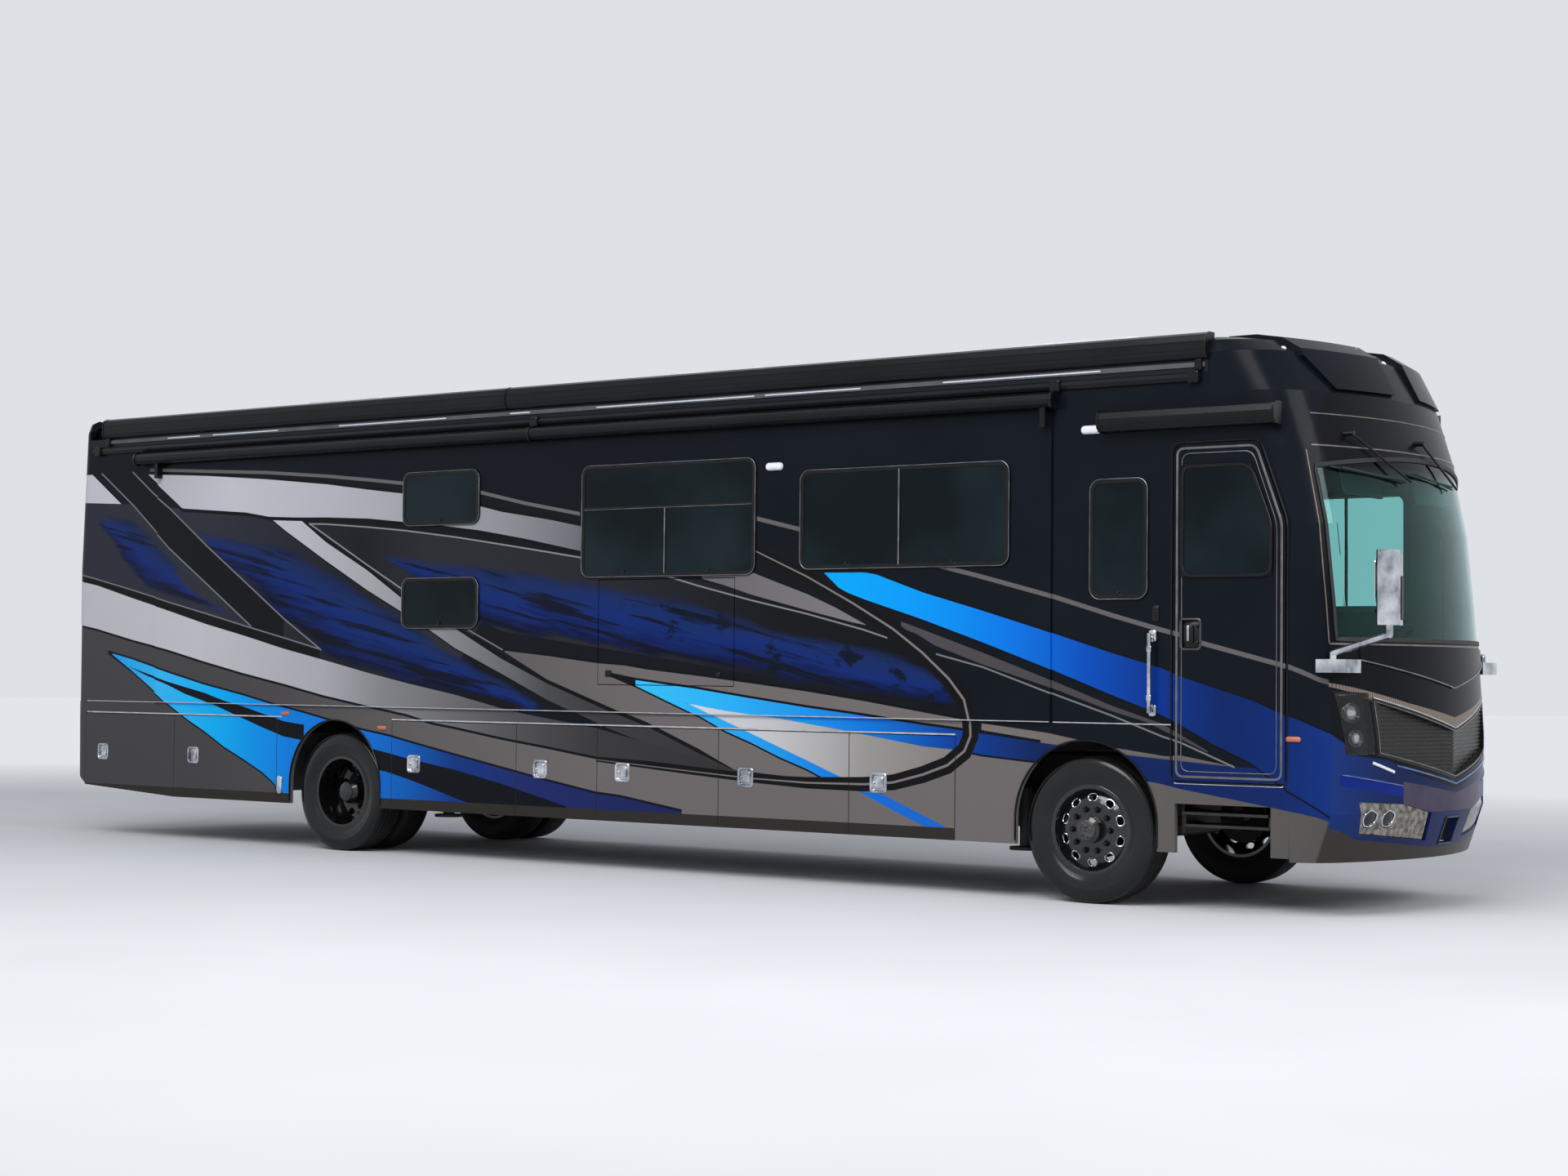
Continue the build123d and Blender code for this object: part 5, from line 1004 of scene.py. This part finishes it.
for group, (body, face, sides) in WINDOWS.items():
    frames, highlight_beads = [], []
    for hand, (panes, bars, latches, lines) in sides.items():
        frames += [frame_ring(x, z, hand, face) for x, z in panes]
        frames += [strip(x, z, .0084, .0135, hand, face) for x, z in bars]
        for x, z in latches:
            frames += window_latch(x, z, hand, face)
        highlight_beads += [highlight_bead_ring(x, z, hand, face) for x, z in panes]
        highlight_beads += [strip(x, z, .0134, high, hand, face, .0006) for x, z, high in lines]
    piece(f"window_frames_{group}", frames, body, FRAME)
    piece(f"window_highlight_beads_{group}", highlight_beads, body, BEAD)

# Mouldings of the sides, pale crease lines that are painted highlight, wheel-arch lips, filler cover and side
# markers
rails, lips, markers = [], [], []
for hand in (CURB, STREET):
    rails += [strip(x, (1.099, 1.111), ON_WALL, .0065, hand) for x in ((-6.105, -3.52), (-2.205, 3.27))]
    # Pale strips at 1.2 m: painted highlight where the body's crease catches light
    rails += [strip(x, (1.201, 1.209), ON_WALL, .0055, hand) for x in ((-6.11, -5.175), (4.045, 4.935))]
    for axle in AXLES.values():
        t = np.linspace(0, pi, 49)
        turn_x = np.r_[.541, .541 * np.cos(t), -.541]
        turn_z = np.r_[.40, .548 + .541 * np.sin(t), .40]
        path = np.stack([axle + turn_x, np.full(51, hand * (HALF + .002)), turn_z], axis=1)
        lips.append(tube(path, bar(.010, .016)))
    for x, z, sunk in ((-3.48, 1.135, 0), (-2.32, 1.035, 0), (5.80, 1.13, .0005)):
        levels = pad(.100, .034, .016, .0, .006, (.080, .022, .010, .013), (.040, .008, .003, .016))
        markers.append(side_stack(x, z, levels, hand, HALF - sunk))
piece("side_mouldings", rails, "coach", BRUSHED)
piece("arch_lips", lips, "coach", BLACK)
piece("side_markers", markers, "coach", ("lamp_red", lens("amber_lens", (206, 120, 84))))
# Foot flanges of the rooms, pale as painted highlight along the crease
for name, x in (("curb", (-5.16, 4.025)), ("street", (-.345, 3.545))):
    foot = strip(x, (1.203, 1.210), ON_WALL, .0055, HANDS[name], SLIDE_FACE)
    piece(f"room_foot_highlight_{name}", [foot], f"{name}_slide", BRUSHED)
cover = pad(.056, .160, .026, .0003, .010, (.046, .150, .022, .018), (.020, .120, .009, .021))
piece("filler_cover", [side_stack(-3.530, .530, cover, CURB)], "coach", CHROME)

# Awnings: light strip in the gap below the boxes, glowing in spans that are painted reflection, grooves, end
# plates and arm brackets
BOX_FACE, BOX_PROUD = 1.3215 - HALF, 1.3245 - HALF
# Spans where the strip glows: a light strip, its glow laid in these spans as painted reflection along the gap
LIGHT_AND_GLINT_SPANS = ((-5.05, -4.62), (-4.45, -3.62), (-2.87, -1.63), (-.93, -.72), (-.03, 1.50), (1.60, 2.45),
          (3.15, 4.40))
channel = "chrome_trim", plain("light_channel", (58, 60, 64), (76, 78, 82), (0.3, 0.45), 6)
piece("awning_light_channel", [strip((-5.90, 5.17), (3.530, 3.562), ON_WALL, .010, CURB)], "coach", channel)
piece("awning_lights_and_glints", [strip(x, (3.541, 3.552), .0095, .0135, CURB) for x in LIGHT_AND_GLINT_SPANS], "coach",
      ("lamp_clear", lit("strip_light_and_glint", (176, 182, 190), 0.12)))


def end_plates(outline, places, half):
    """Plates across the coach at places along it, their outline (distance out, z) on the curb side."""
    out, z = np.transpose(outline)
    plates = []
    for x in places:
        loops = [np.stack([0 * z + x + side + NOSE_SHIFT, -out, z], axis=1) for side in (-half, half)]
        plates.append(lattice(np.stack(loops), around=True, ends=True))
    return plates


fittings = end_plates([(1.196, 3.577), (1.196, 3.760), (1.270, 3.760), (1.312, 3.742), (1.326, 3.702),
                       (1.326, 3.618), (1.309, 3.586), (1.285, 3.577)], (-5.918, -.9665, -.9615, 5.186), .006)
for z in (3.640, 3.690):
    fittings += [strip(x, (z, z + .006), BOX_FACE, BOX_PROUD, CURB) for x in ((-5.91, -.97), (-.958, 5.18))]
for x in (-5.99, -.66, 4.06, 5.10):
    levels = pad(.075, .080, .012, .0, .036, (.060, .066, .012, .042))
    fittings.append(side_stack(x, 3.466, levels, CURB))
for x in (-5.86, 5.13):
    levels = pad(.050, .075, .012, .0, .026, (.036, .060, .010, .032))
    fittings.append(side_stack(x, 3.545, levels, CURB))
piece("awning_fittings", fittings, "coach", BLACK, 30)
collar = [(.030, -.012), (.056, -.012), (.060, -.008), (.060, .008), (.056, .012), (.030, .012)]
collars = [turned(collar, (x + NOSE_SHIFT, -SLIDE_FACE - .040, 3.368), (1, 0, 0), 28)
           for x in (-5.397, -.66, 4.063)]
collars.append(strip((-5.38, 4.05), (3.330, 3.334), .084, .0895, CURB, SLIDE_FACE))
piece("topper_collars", collars, "curb_slide", BLACK)
caps = end_plates([(1.2855, 3.126), (1.2855, 3.275), (1.362, 3.275), (1.392, 3.258), (1.402, 3.215),
                   (1.392, 3.162), (1.362, 3.131)], (4.432, 5.703), .008)
caps.append(strip((4.44, 5.69), (3.176, 3.186), .1095, .1140, CURB))
piece("entry_awning_caps", caps, "coach", BLACK, 30)
porch = pad(.150, .056, .026, .0, .012, (.128, .040, .019, .026), (.070, .014, .006, .031))
piece("porch_light_front", [side_stack(4.330, 3.160, porch, CURB)], "coach", BULB)
piece("porch_light_room", [side_stack(1.70, 3.02, porch, CURB, SLIDE_FACE)], "curb_slide", BULB)

# Entry door: raised border, seal, window surround, handle, threshold; keypad and rail brackets beside it
DOOR_LINE = [(4.947, .845), (5.742, .845), (5.742, 2.508), (5.552, 3.030), (4.947, 3.030)]
DOOR_PANE = [(5.005, 2.165), (5.650, 2.165), (5.650, 2.505), (5.500, 2.894), (5.005, 2.894)]


def eased(points, radius):
    """Closed outline whose corners are arcs: each is a quadratic curve between points radius away from it."""
    t = np.linspace(0, 1, 7)[:, None]
    out = []
    for a, p, b in zip(np.roll(points, 1, 0), points, np.roll(points, -1, 0)):
        near_a = p + (a - p) * radius / np.linalg.norm(a - p)
        near_b = p + (b - p) * radius / np.linalg.norm(b - p)
        out.append((1 - t) ** 2 * near_a + 2 * t * (1 - t) * p + t ** 2 * near_b)
    return np.concatenate(out)


def inset_line(points, gap):
    """Closed outline moved inwards by gap: each corner slides along both edge normals."""
    points = np.asarray(points, float)
    ahead = np.roll(points, -1, 0) - points
    ahead /= np.linalg.norm(ahead, axis=1)[:, None]
    normal = np.stack([-ahead[:, 1], ahead[:, 0]], axis=1)
    previous = np.roll(normal, 1, 0)
    share = 1 + np.sum(normal * previous, axis=1)[:, None]
    return points + (normal + previous) / share * gap


def door_loop(line, gap, radius, section, out):
    """A section carried round an outline of the door, moved inwards by gap and eased."""
    path = on_side(eased(inset_line(line, gap), radius), out, CURB)
    return tube(path, section, closed=True)


HANDLE_X, HANDLE_Z, LEVER_X, LEVER_Z = 5.072, 1.795, 5.056, 1.800
piece("door_border", [door_loop(DOOR_LINE, .026, .05, bar(.016, .006), .002),
                      door_loop(DOOR_LINE, .060, .06, wire(.0035), .001)], "entry_door",
      ("coach_paint", plain("door_border_grey", (88, 88, 90), (106, 106, 108), (0.2, 0.3), 10, Metallic=0.4)))
piece("door_jamb_seal", [door_loop(DOOR_LINE, -.014, .06, bar(.010, .008), .001)], "coach", BLACK)
piece("door_window_frame", [door_loop(DOOR_PANE, .008, .07, bar(.024, .014), .010)], "entry_door", FRAME)
bezel = pad(.130, .180, .016, -.012, .003, (.135, .185, .018, .006), (.150, .200, .024, .006),
            (.158, .208, .028, .003), (.158, .208, .028, .0004), (.1385, .1885, .019, -.010))
piece("door_handle_bezel", [side_stack(HANDLE_X, HANDLE_Z, bezel, CURB, ring=True)], "entry_door",
      ("chrome_trim", plain("bezel_grey", (58, 59, 62), (78, 79, 82), (0.18, 0.3), 20, Metallic=0.5)))
tray = [(.1385, .1885, .019, -.0178), (.128, .178, .016, -.014)]
grip = pad(.070, .120, .012, -.0145, -.001, (.058, .108, .010, .003))
screw = [(.011, -.0145), (.011, -.003), (.008, -.001), (.0, -.001)]
handle = [side_stack(HANDLE_X, HANDLE_Z, tray, CURB), side_stack(LEVER_X, LEVER_Z, grip, CURB)]
handle += [side_turned(screw, 5.116, z, CURB, 16) for z in (1.850, 1.740)]
piece("door_handle", handle, "entry_door", BLACK)
lever = pad(.016, .100, .006, .002, .008, (.010, .09, .004, .010))
piece("door_handle_lever", [side_stack(LEVER_X, LEVER_Z, lever, CURB)], "entry_door", CHROME)
piece("door_threshold", [strip((4.96, 5.73), (.822, .836), -.02, .004, CURB)], "coach", BRUSHED)
foot = pad(.052, .074, .016, .0, .010, (.040, .050, .014, .016))
grips = [side_stack(4.800, z, foot, CURB) for z in (1.296, 1.784)]
sleeve = np.array([(.0145, 0), (.019, 0), (.0205, .006), (.0205, .030), (.019, .036), (.0145, .036)])
grips += [turned(sleeve + (0, z), (4.800 + NOSE_SHIFT, -HALF - .055, 0), (0, 0, 1), 20) for z in (1.36, 1.68)]
piece("grab_rail_fittings", grips, "coach", CHROME)
key = pad(.011, .012, .003, .0098, .0125, (.008, .009, .002, .0132))
keypad = pad(.050, .105, .012, .0, .007, (.042, .095, .010, .010))
keys = [side_stack(4.820, 1.930, keypad, CURB)]
keys += [side_stack(4.820 + dx, 1.930 + dz, key, CURB)
         for dx in (-.010, .010) for dz in (-.030, -.010, .010, .030)]
piece("door_keypad", keys, "coach", BLACK)

# Television door: catch and pull
catch = pad(.060, .050, .006, .0003, .006, (.050, .040, .005, .009))
pull = [(.020, .0003), (.020, .006), (.015, .009), (.0, .009)]
piece("tv_door_catches", [side_stack(.13, 1.500, catch, CURB, SLIDE_FACE),
                          side_turned(pull, 1.20, 1.500, CURB, 20, SLIDE_FACE)], "tv_door", BLACK)

# Nose: gasket and trims, lamps behind clear lenses, light bars, lines round the grille, markers, wiper
# blades; the pale bars on the hood's crease, the grille's brow and the bumper lips are painted highlights
arch = [(y, 2.96 - .09 * (y / 1.15) ** 2) for y in np.linspace(1.15, -1.15, 25)]
gasket = nose_line([(-1.15, 1.765), (1.15, 1.765)] + arch, bar(.030, .012), .002, closed=True)
piece("screen_gasket", [gasket], "coach", SEAL)
trims = [nose_line([(-1.185, 1.735), (1.185, 1.735)], bar(.014, .006), .001),
         nose_line([(-1.15, 3.002), (1.15, 3.002)], bar(.010, .006), .001),
         nose_line([(-1.10, 3.212), (1.10, 3.212)], bar(.008, .005), .001)]
trims += [nose_line([(s * 1.187, 1.74), (s * 1.187, 2.2), (s * 1.18, 2.97)], bar(.010, .008), .001)
          for s in (-1, 1)]
piece("nose_trims", trims, "coach",
      ("chrome_trim", plain("nose_trim_grey", (96, 92, 88), (118, 113, 108), (0.25, 0.4), 12, Metallic=0.5)))
LED = "lamp_clear", lit("led_white", (188, 193, 200), 0.22)
for name, hand in HANDS.items():
    left = [1.035, 1.43], [hand * .908, hand * .944]
    right = [1.035, 1.29, 1.435], [hand * 1.127, hand * 1.157, hand * 1.180]
    cover = nose_patch(left, right, (1.036, 1.427), .001)
    thicken(piece(f"headlamp_lens_{name}", [cover], "coach", CLEAR), .003)
    rings, glow, dark = [], [], []
    for y, z, r in ((1.082, 1.300, .064), (1.058, 1.140, .056)):
        rings += [nose_ring(hand * y, z, r - less, out, .0045)
                  for less, out in ((.004, -.0065), (.016, -.0075))]
        dome = [(r - .022, -.002), (r - .024, .002), ((r - .024) * .7, .0045), (.0, .0055)]
        glow.append(nose_turned(dome, hand * y, z, -.007))
    for y, z, r in ((.919, .628, .058), (.759, .625, .058)):
        rings.append(nose_ring(hand * y, z, r - .004, -.017, .006))
        dome = [(r - .008, -.002), (r - .010, .003), ((r - .010) * .7, .009), (.0, .0115)]
        dark.append(nose_turned(dome, hand * y, z, -.0225))
    piece(f"lamp_rings_{name}", rings, "coach", CHROME)
    piece(f"headlamp_bulbs_{name}", glow, "coach", BULB)
    piece(f"fog_lamp_glass_{name}", dark, "coach", ("lamp_clear", DARK_GLASS))
    light = nose_line([(hand * .93, .985), (hand * .745, .925)], bar(.018, .010), .003)
    piece(f"light_bar_{name}", [light], "coach", LED)
# Pale blue bars along the top of the blue vee and in the groove beside it: painted highlights
lips = [nose_line([(0, .835), (s * .50, .925), (s * .72, .965)], bar(.012, .010), .003) for s in (1, -1)]
lips += [nose_line([(s * .66, .836), (s * 1.15, .910)], bar(.008, .008), .002) for s in (1, -1)]
piece("bumper_lip_highlights", lips, "coach",
      ("chrome_trim", plain("lip_highlight_blue", (70, 96, 150), (96, 124, 176), (0.15, 0.25), 9, Metallic=0.5)))
NODES["bumper_inserts"].data.materials[0] = SMOKED
# Pale bar along the hood's crease: painted highlight
hood = [nose_line([(s * 1.0, 1.634), (0, 1.46)], bar(.009, .008), .013) for s in (1, -1)]
piece("hood_crease_highlight", hood, "coach", BEAD)
mouth = [(-.925, 1.400), (-.885, 1.030), (0, .862), (.885, 1.030), (.925, 1.400), (0, 1.197)]
mouth = inset_line(mouth, .020)
piece("grille_line", [nose_line(mouth, bar(.007, .007), -.001, closed=True)], "coach", BEAD)
# Bright bar along the lower edge of the champagne vee: painted highlight
brow = [(-.91, 1.398), (-.54, 1.318), (0, 1.199), (.54, 1.318), (.91, 1.398)]
piece("grille_brow_highlight", [nose_line(brow, bar(.008, .007), .001)], "coach", BRUSHED)
recess = [(-.108, .442), (.108, .442), (.108, .618), (-.108, .618)]
piece("plate_recess_frame", [nose_line(recess, bar(.012, .012), .002, closed=True)], "coach",
      ("chrome_trim", plain("recess_grey", (44, 45, 49), (62, 63, 67), (0.2, 0.3), 9, Metallic=0.4)))
dome = [(.017, 0), (.017, .003), (.013, .008), (.006, .0105), (.0, .011)]
markers = [nose_turned(dome, y, z, out, 20) for y, z, out in (
    (-1.044, 3.648, -.001), (-.266, 3.690, .023), (0, 3.640, -.001), (.266, 3.690, .023),
    (1.044, 3.648, -.001))]
piece("roof_markers_front", markers, "coach", BULB)
blades = []
for y0, y1 in ((-1.06, -.36), (-.34, .42)):
    y = np.linspace(y0, y1, 22)
    z = 2.862 - .062 * (y - y0) / (y1 - y0)
    out = .026 - .012 * np.cos(np.linspace(-pi, pi, 22))
    blades.append(tube(on_nose(y, z, .012), bar(.010, .014), up=(1, 0, .1)))
    blades.append(tube(on_nose(y[2:-2], z[2:-2], out[2:-2]), bar(.012, .007), up=(1, 0, .1)))
piece("wiper_blades", blades, "coach", SEAL)

# Mirrors: glass set in the rear face, a divider below it, and a dark signal strip on the front face
MIRROR_X, MIRROR_Y, MIRROR_HALF = {"curb": 6.500, "street": 5.540}, 1.425, 0.058
glass = pad(.176, .270, .030, -.004, .002, (.168, .262, .028, .003))
divider = pad(.170, .020, .006, -.004, .003, (.160, .014, .005, .004))
signal = pad(.026, .270, .012, -.003, .003, (.019, .260, .009, .005))
SILVER = ("chrome_trim",
          plain("mirror_silver", (190, 196, 200), (200, 205, 208), (0.01, 0.04), 6, Metallic=1.0))
for name, hand in HANDS.items():
    back, front = MIRROR_X[name] - MIRROR_HALF, MIRROR_X[name] + MIRROR_HALF
    y = hand * MIRROR_Y
    piece(f"mirror_glass_{name}", [end_stack(back, y, 2.120, glass)], "coach", SILVER)
    piece(f"mirror_divider_{name}", [end_stack(back, y, 1.930, divider)], "coach", BLACK)
    strips = [end_stack(front, y - hand * .050, 2.012, signal, 1)]
    piece(f"mirror_signal_{name}", strips, "coach", ("awning_black", DARK_GLASS))

# Rear: top markers, camera, hatch slats and catches
marker = pad(.100, .034, .014, -.006, .004, (.080, .022, .010, .011), (.04, .008, .003, .014))
piece("roof_markers_rear", [end_stack(-6.302, y, 3.60, marker) for y in (-.90, -.22, 0, .22, .90)], "coach",
      ("lamp_red", FINISH["lamp_red"]))
EYE_X, EYE_Z = -6.312, 3.36
hood = pad(.150, .080, .020, -.010, .030, (.110, .060, .018, .060), (.100, .050, .016, .062))
eye = [(.018, .055), (.020, .066), (.014, .070), (.0, .070)]
eye = turned(eye, (EYE_X + NOSE_SHIFT, 0, EYE_Z), (-1, 0, 0), 20)
piece("rear_camera", [end_stack(EYE_X, 0, EYE_Z, hood), eye], "coach", BLACK)
slat = pad(.990, .006, .002, -.020, .006, (.986, .003, .001, .009))
slats = [end_stack(-6.338, 0, .843 + row * .062, slat) for row in range(9)]
piece("hatch_slats", slats, "engine_door", BLACK)
catch = pad(.090, .040, .012, -.006, .007, (.074, .028, .010, .011))
piece("hatch_catches", [end_stack(-6.350, y, .742, catch) for y in (-.42, .42)], "engine_door", CHROME)

# Roof: grilles in the ends of the air conditioners, which lean inwards
slat = pad(.460, .006, .002, -.010, .006, (.456, .003, .001, .008))
grilles = [end_stack(x + way * (.497 - row * .0055), 0, 3.750 + row * .018, slat, way)
           for x in (-3.85, .35, 3.65) for way in (-1, 1) for row in range(7)]
piece("roof_unit_grilles", grilles, "coach", ("unit_plastic", TRIM))

# Cab: seats, lining, dash fittings, visors
lean = Matrix.Rotation(radians(-14), 4, "Y")
for number, (x, y) in enumerate(((5.010, .640), (4.580, -.640)), 1):
    x += NOSE_SHIFT
    pads = {"cushion": [pillow((x + .005, y, 1.527), (.255, .245, .072), .30)],
            "back": [pillow((x - .355, y, 1.845), (.060, .235, .300), .30, lean),
                     pillow((x - .433, y, 2.205), (.045, .135, .085), .40, lean)],
            "arms": [pillow((x - .02, y + s * .262, 1.665), (.190, .028, .030), .5) for s in (-1, 1)]}
    for part_name, parts in pads.items():
        padding = piece(f"seat_{part_name}_{number}", parts, "coach", LEATHER, 60)
        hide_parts("cab_seats")
lining = [strip((4.06, 5.74), z, -.060, -.052, STREET) for z in ((1.14, 2.00), (2.88, 3.40))]
lining += [strip(x, (2.00, 2.88), -.060, -.052, STREET) for x in ((4.06, 4.48), (5.50, 5.74))]
lining += [strip((4.06, 4.92), z, -.060, -.052, CURB) for z in ((1.14, 2.01), (2.84, 3.40))]
piece("cab_lining", lining, "coach", LINING)
x = np.array([3.95, 4.6, 5.1, 5.45, 5.75, 5.92])[:, None] + NOSE_SHIFT
z = np.array([3.47, 3.46, 3.42, 3.33, 3.18, 3.06])[:, None]
half = np.array([1.18, 1.18, 1.18, 1.12, .98, .80])[:, None]
y = np.linspace(-1, 1, 15)
roof_cloth = np.stack(np.broadcast_arrays(x, half * y, z - .06 * y ** 4), axis=-1)
thicken(piece("cab_headliner", [lattice(roof_cloth)], "coach", LINING), .012)
visor = pad(.62, .20, .02, 0, .014, (.60, .18, .02, .018))
visors = [stacked((5.905 + NOSE_SHIFT, y, 2.80), (0, 1, 0), (-.25, 0, .97), (.97, 0, .25), visor)
          for y in (-.55, .60)]
piece("sun_visors", visors, "coach", DASH)


def dash_stack(x, y, z, levels):
    """Rounded rectangles stacked out of the dash, which leans back."""
    return stacked((x + NOSE_SHIFT, y, z), (0, 1, 0), (-.29, 0, .957), (-.957, 0, -.29), levels)


piece("dash_surrounds", [
    dash_stack(5.815, .62, 1.625, pad(.46, .15, .05, -.05, .012, (.44, .13, .045, .018))),
    dash_stack(5.815, -.02, 1.615, pad(.34, .19, .02, -.05, .010, (.32, .17, .018, .014)))],
    "coach", DASH)
piece("dash_screens", [
    dash_stack(5.799, y, z, pad(w, h, .012, -.006, .002, (w - .01, h - .01, .010, .003)))
    for y, z, w, h in ((.62, 1.622, .38, .105), (-.02, 1.612, .285, .150))],
    "coach", ("dash_plastic", plain("screen_face", (10, 12, 16), (20, 26, 34), (0.05, 0.12), 2)))

# Camera, found from the photograph's verticals and the wheels; its turns are yaw, pitch and roll
EYE = (12.829 + NOSE_SHIFT, -16.107, 1.5175)
YAW, PITCH, ROLL = radians(36.70), radians(1.91), radians(0.56)
SENSOR_MM, FOCAL_PX, PHOTO_PX, SIGHT = 36.0, 3119.1, 1920, 400
camera = bpy.data.objects.new("camera", bpy.data.cameras.new("camera"))
camera.data.sensor_width, camera.data.lens = SENSOR_MM, FOCAL_PX / PHOTO_PX * SENSOR_MM
camera.data.clip_end = SIGHT
camera.matrix_world = (Matrix.Translation(EYE) @ Matrix.Rotation(YAW, 4, "Z")
                       @ Matrix.Rotation(pi / 2 + PITCH, 4, "X") @ Matrix.Rotation(ROLL, 4, "Z"))
bpy.context.scene.collection.objects.link(camera)
bpy.context.scene.camera = camera

# Studio: a pale floor that melts into the backdrop, one pale world and three soft lamps
BACKDROP, WORLD_GREY = linear((222, 225, 230)), (0.50, 0.51, 0.54, 1.0)
FLOOR, FLOOR_2 = (204, 206, 209), (210, 212, 215)
FLOOR_HALF, COACH_HALF, FADE_FROM, FADE_LONG = 90, 6.0, 7.0, 10
DARK = linear((0, 0, 0))
floor = bpy.data.meshes.new("floor")
corners = [(x * FLOOR_HALF, y * FLOOR_HALF, 0) for x, y in ((-1, -1), (1, -1), (1, 1), (-1, 1))]
floor.from_pydata(corners, [], [(0, 1, 2, 3)])
floor = bpy.data.objects.new("floor", floor)
bpy.context.scene.collection.objects.link(floor)
ground = Net("floor", Specular_IOR_Level=0.1, Emission_Strength=1.0)
x, y, z = ground.axes()
past = (abs(x) - COACH_HALF).most(0)
square = past * past + y * y
far = (square.math("SQRT", square) - FADE_FROM).scaled(1 / FADE_LONG, 0.0, clamp=True)
seen = [ground.node("ShaderNodeLightPath", out=kind) for kind in ("Is Camera Ray", "Is Glossy Ray")]
far = far * seen[0].most(seen[1])
sheet = ground.ramp(ground.noise(0.4, 2), (0.3, FLOOR), (0.7, FLOOR_2))
ground.give("Base Color", ground.mix(far, sheet, DARK)).give("Roughness", 0.9)
ground.give("Emission Color", ground.mix(far, DARK, BACKDROP))
floor.data.materials.append(ground.material)
world = bpy.data.worlds.new("studio")
bpy.context.scene.world = world
world.use_nodes = True
tree = world.node_tree
rays = tree.nodes.new("ShaderNodeLightPath")
seen = rays.outputs["Is Camera Ray"]
for kind in ("Is Glossy Ray", "Is Transmission Ray"):
    either = tree.nodes.new("ShaderNodeMath")
    either.operation = "MAXIMUM"
    tree.links.new(seen, either.inputs[0])
    tree.links.new(rays.outputs[kind], either.inputs[1])
    seen = either.outputs[0]
tint = tree.nodes.new("ShaderNodeMix")
tint.data_type = "RGBA"
tree.links.new(seen, tint.inputs[0])
tint.inputs[6].default_value, tint.inputs[7].default_value = WORLD_GREY, BACKDROP
tree.links.new(tint.outputs[2], tree.nodes["Background"].inputs["Color"])


def lamp(name, place, aim, size, power):
    """Soft rectangular lamp at place, turned to aim."""
    light = bpy.data.objects.new(name, bpy.data.lights.new(name, "AREA"))
    light.data.shape, light.data.energy = "RECTANGLE", power
    light.data.size, light.data.size_y = size
    turn = (Vector(aim) - Vector(place)).to_track_quat("-Z", "Y").to_matrix().to_4x4()
    light.matrix_world = Matrix.Translation(place) @ turn
    bpy.context.scene.collection.objects.link(light)


lamp("key", (4, -14, 13), (0, 0, 1.5), (14, 8), 2300)
lamp("front", (17, -3, 8), (5, 0, 1.5), (8, 6), 900)
lamp("top", (0, 2, 14), (0, 0, 2), (16, 6), 150)

bpy.context.scene.view_settings.view_transform = "Standard"
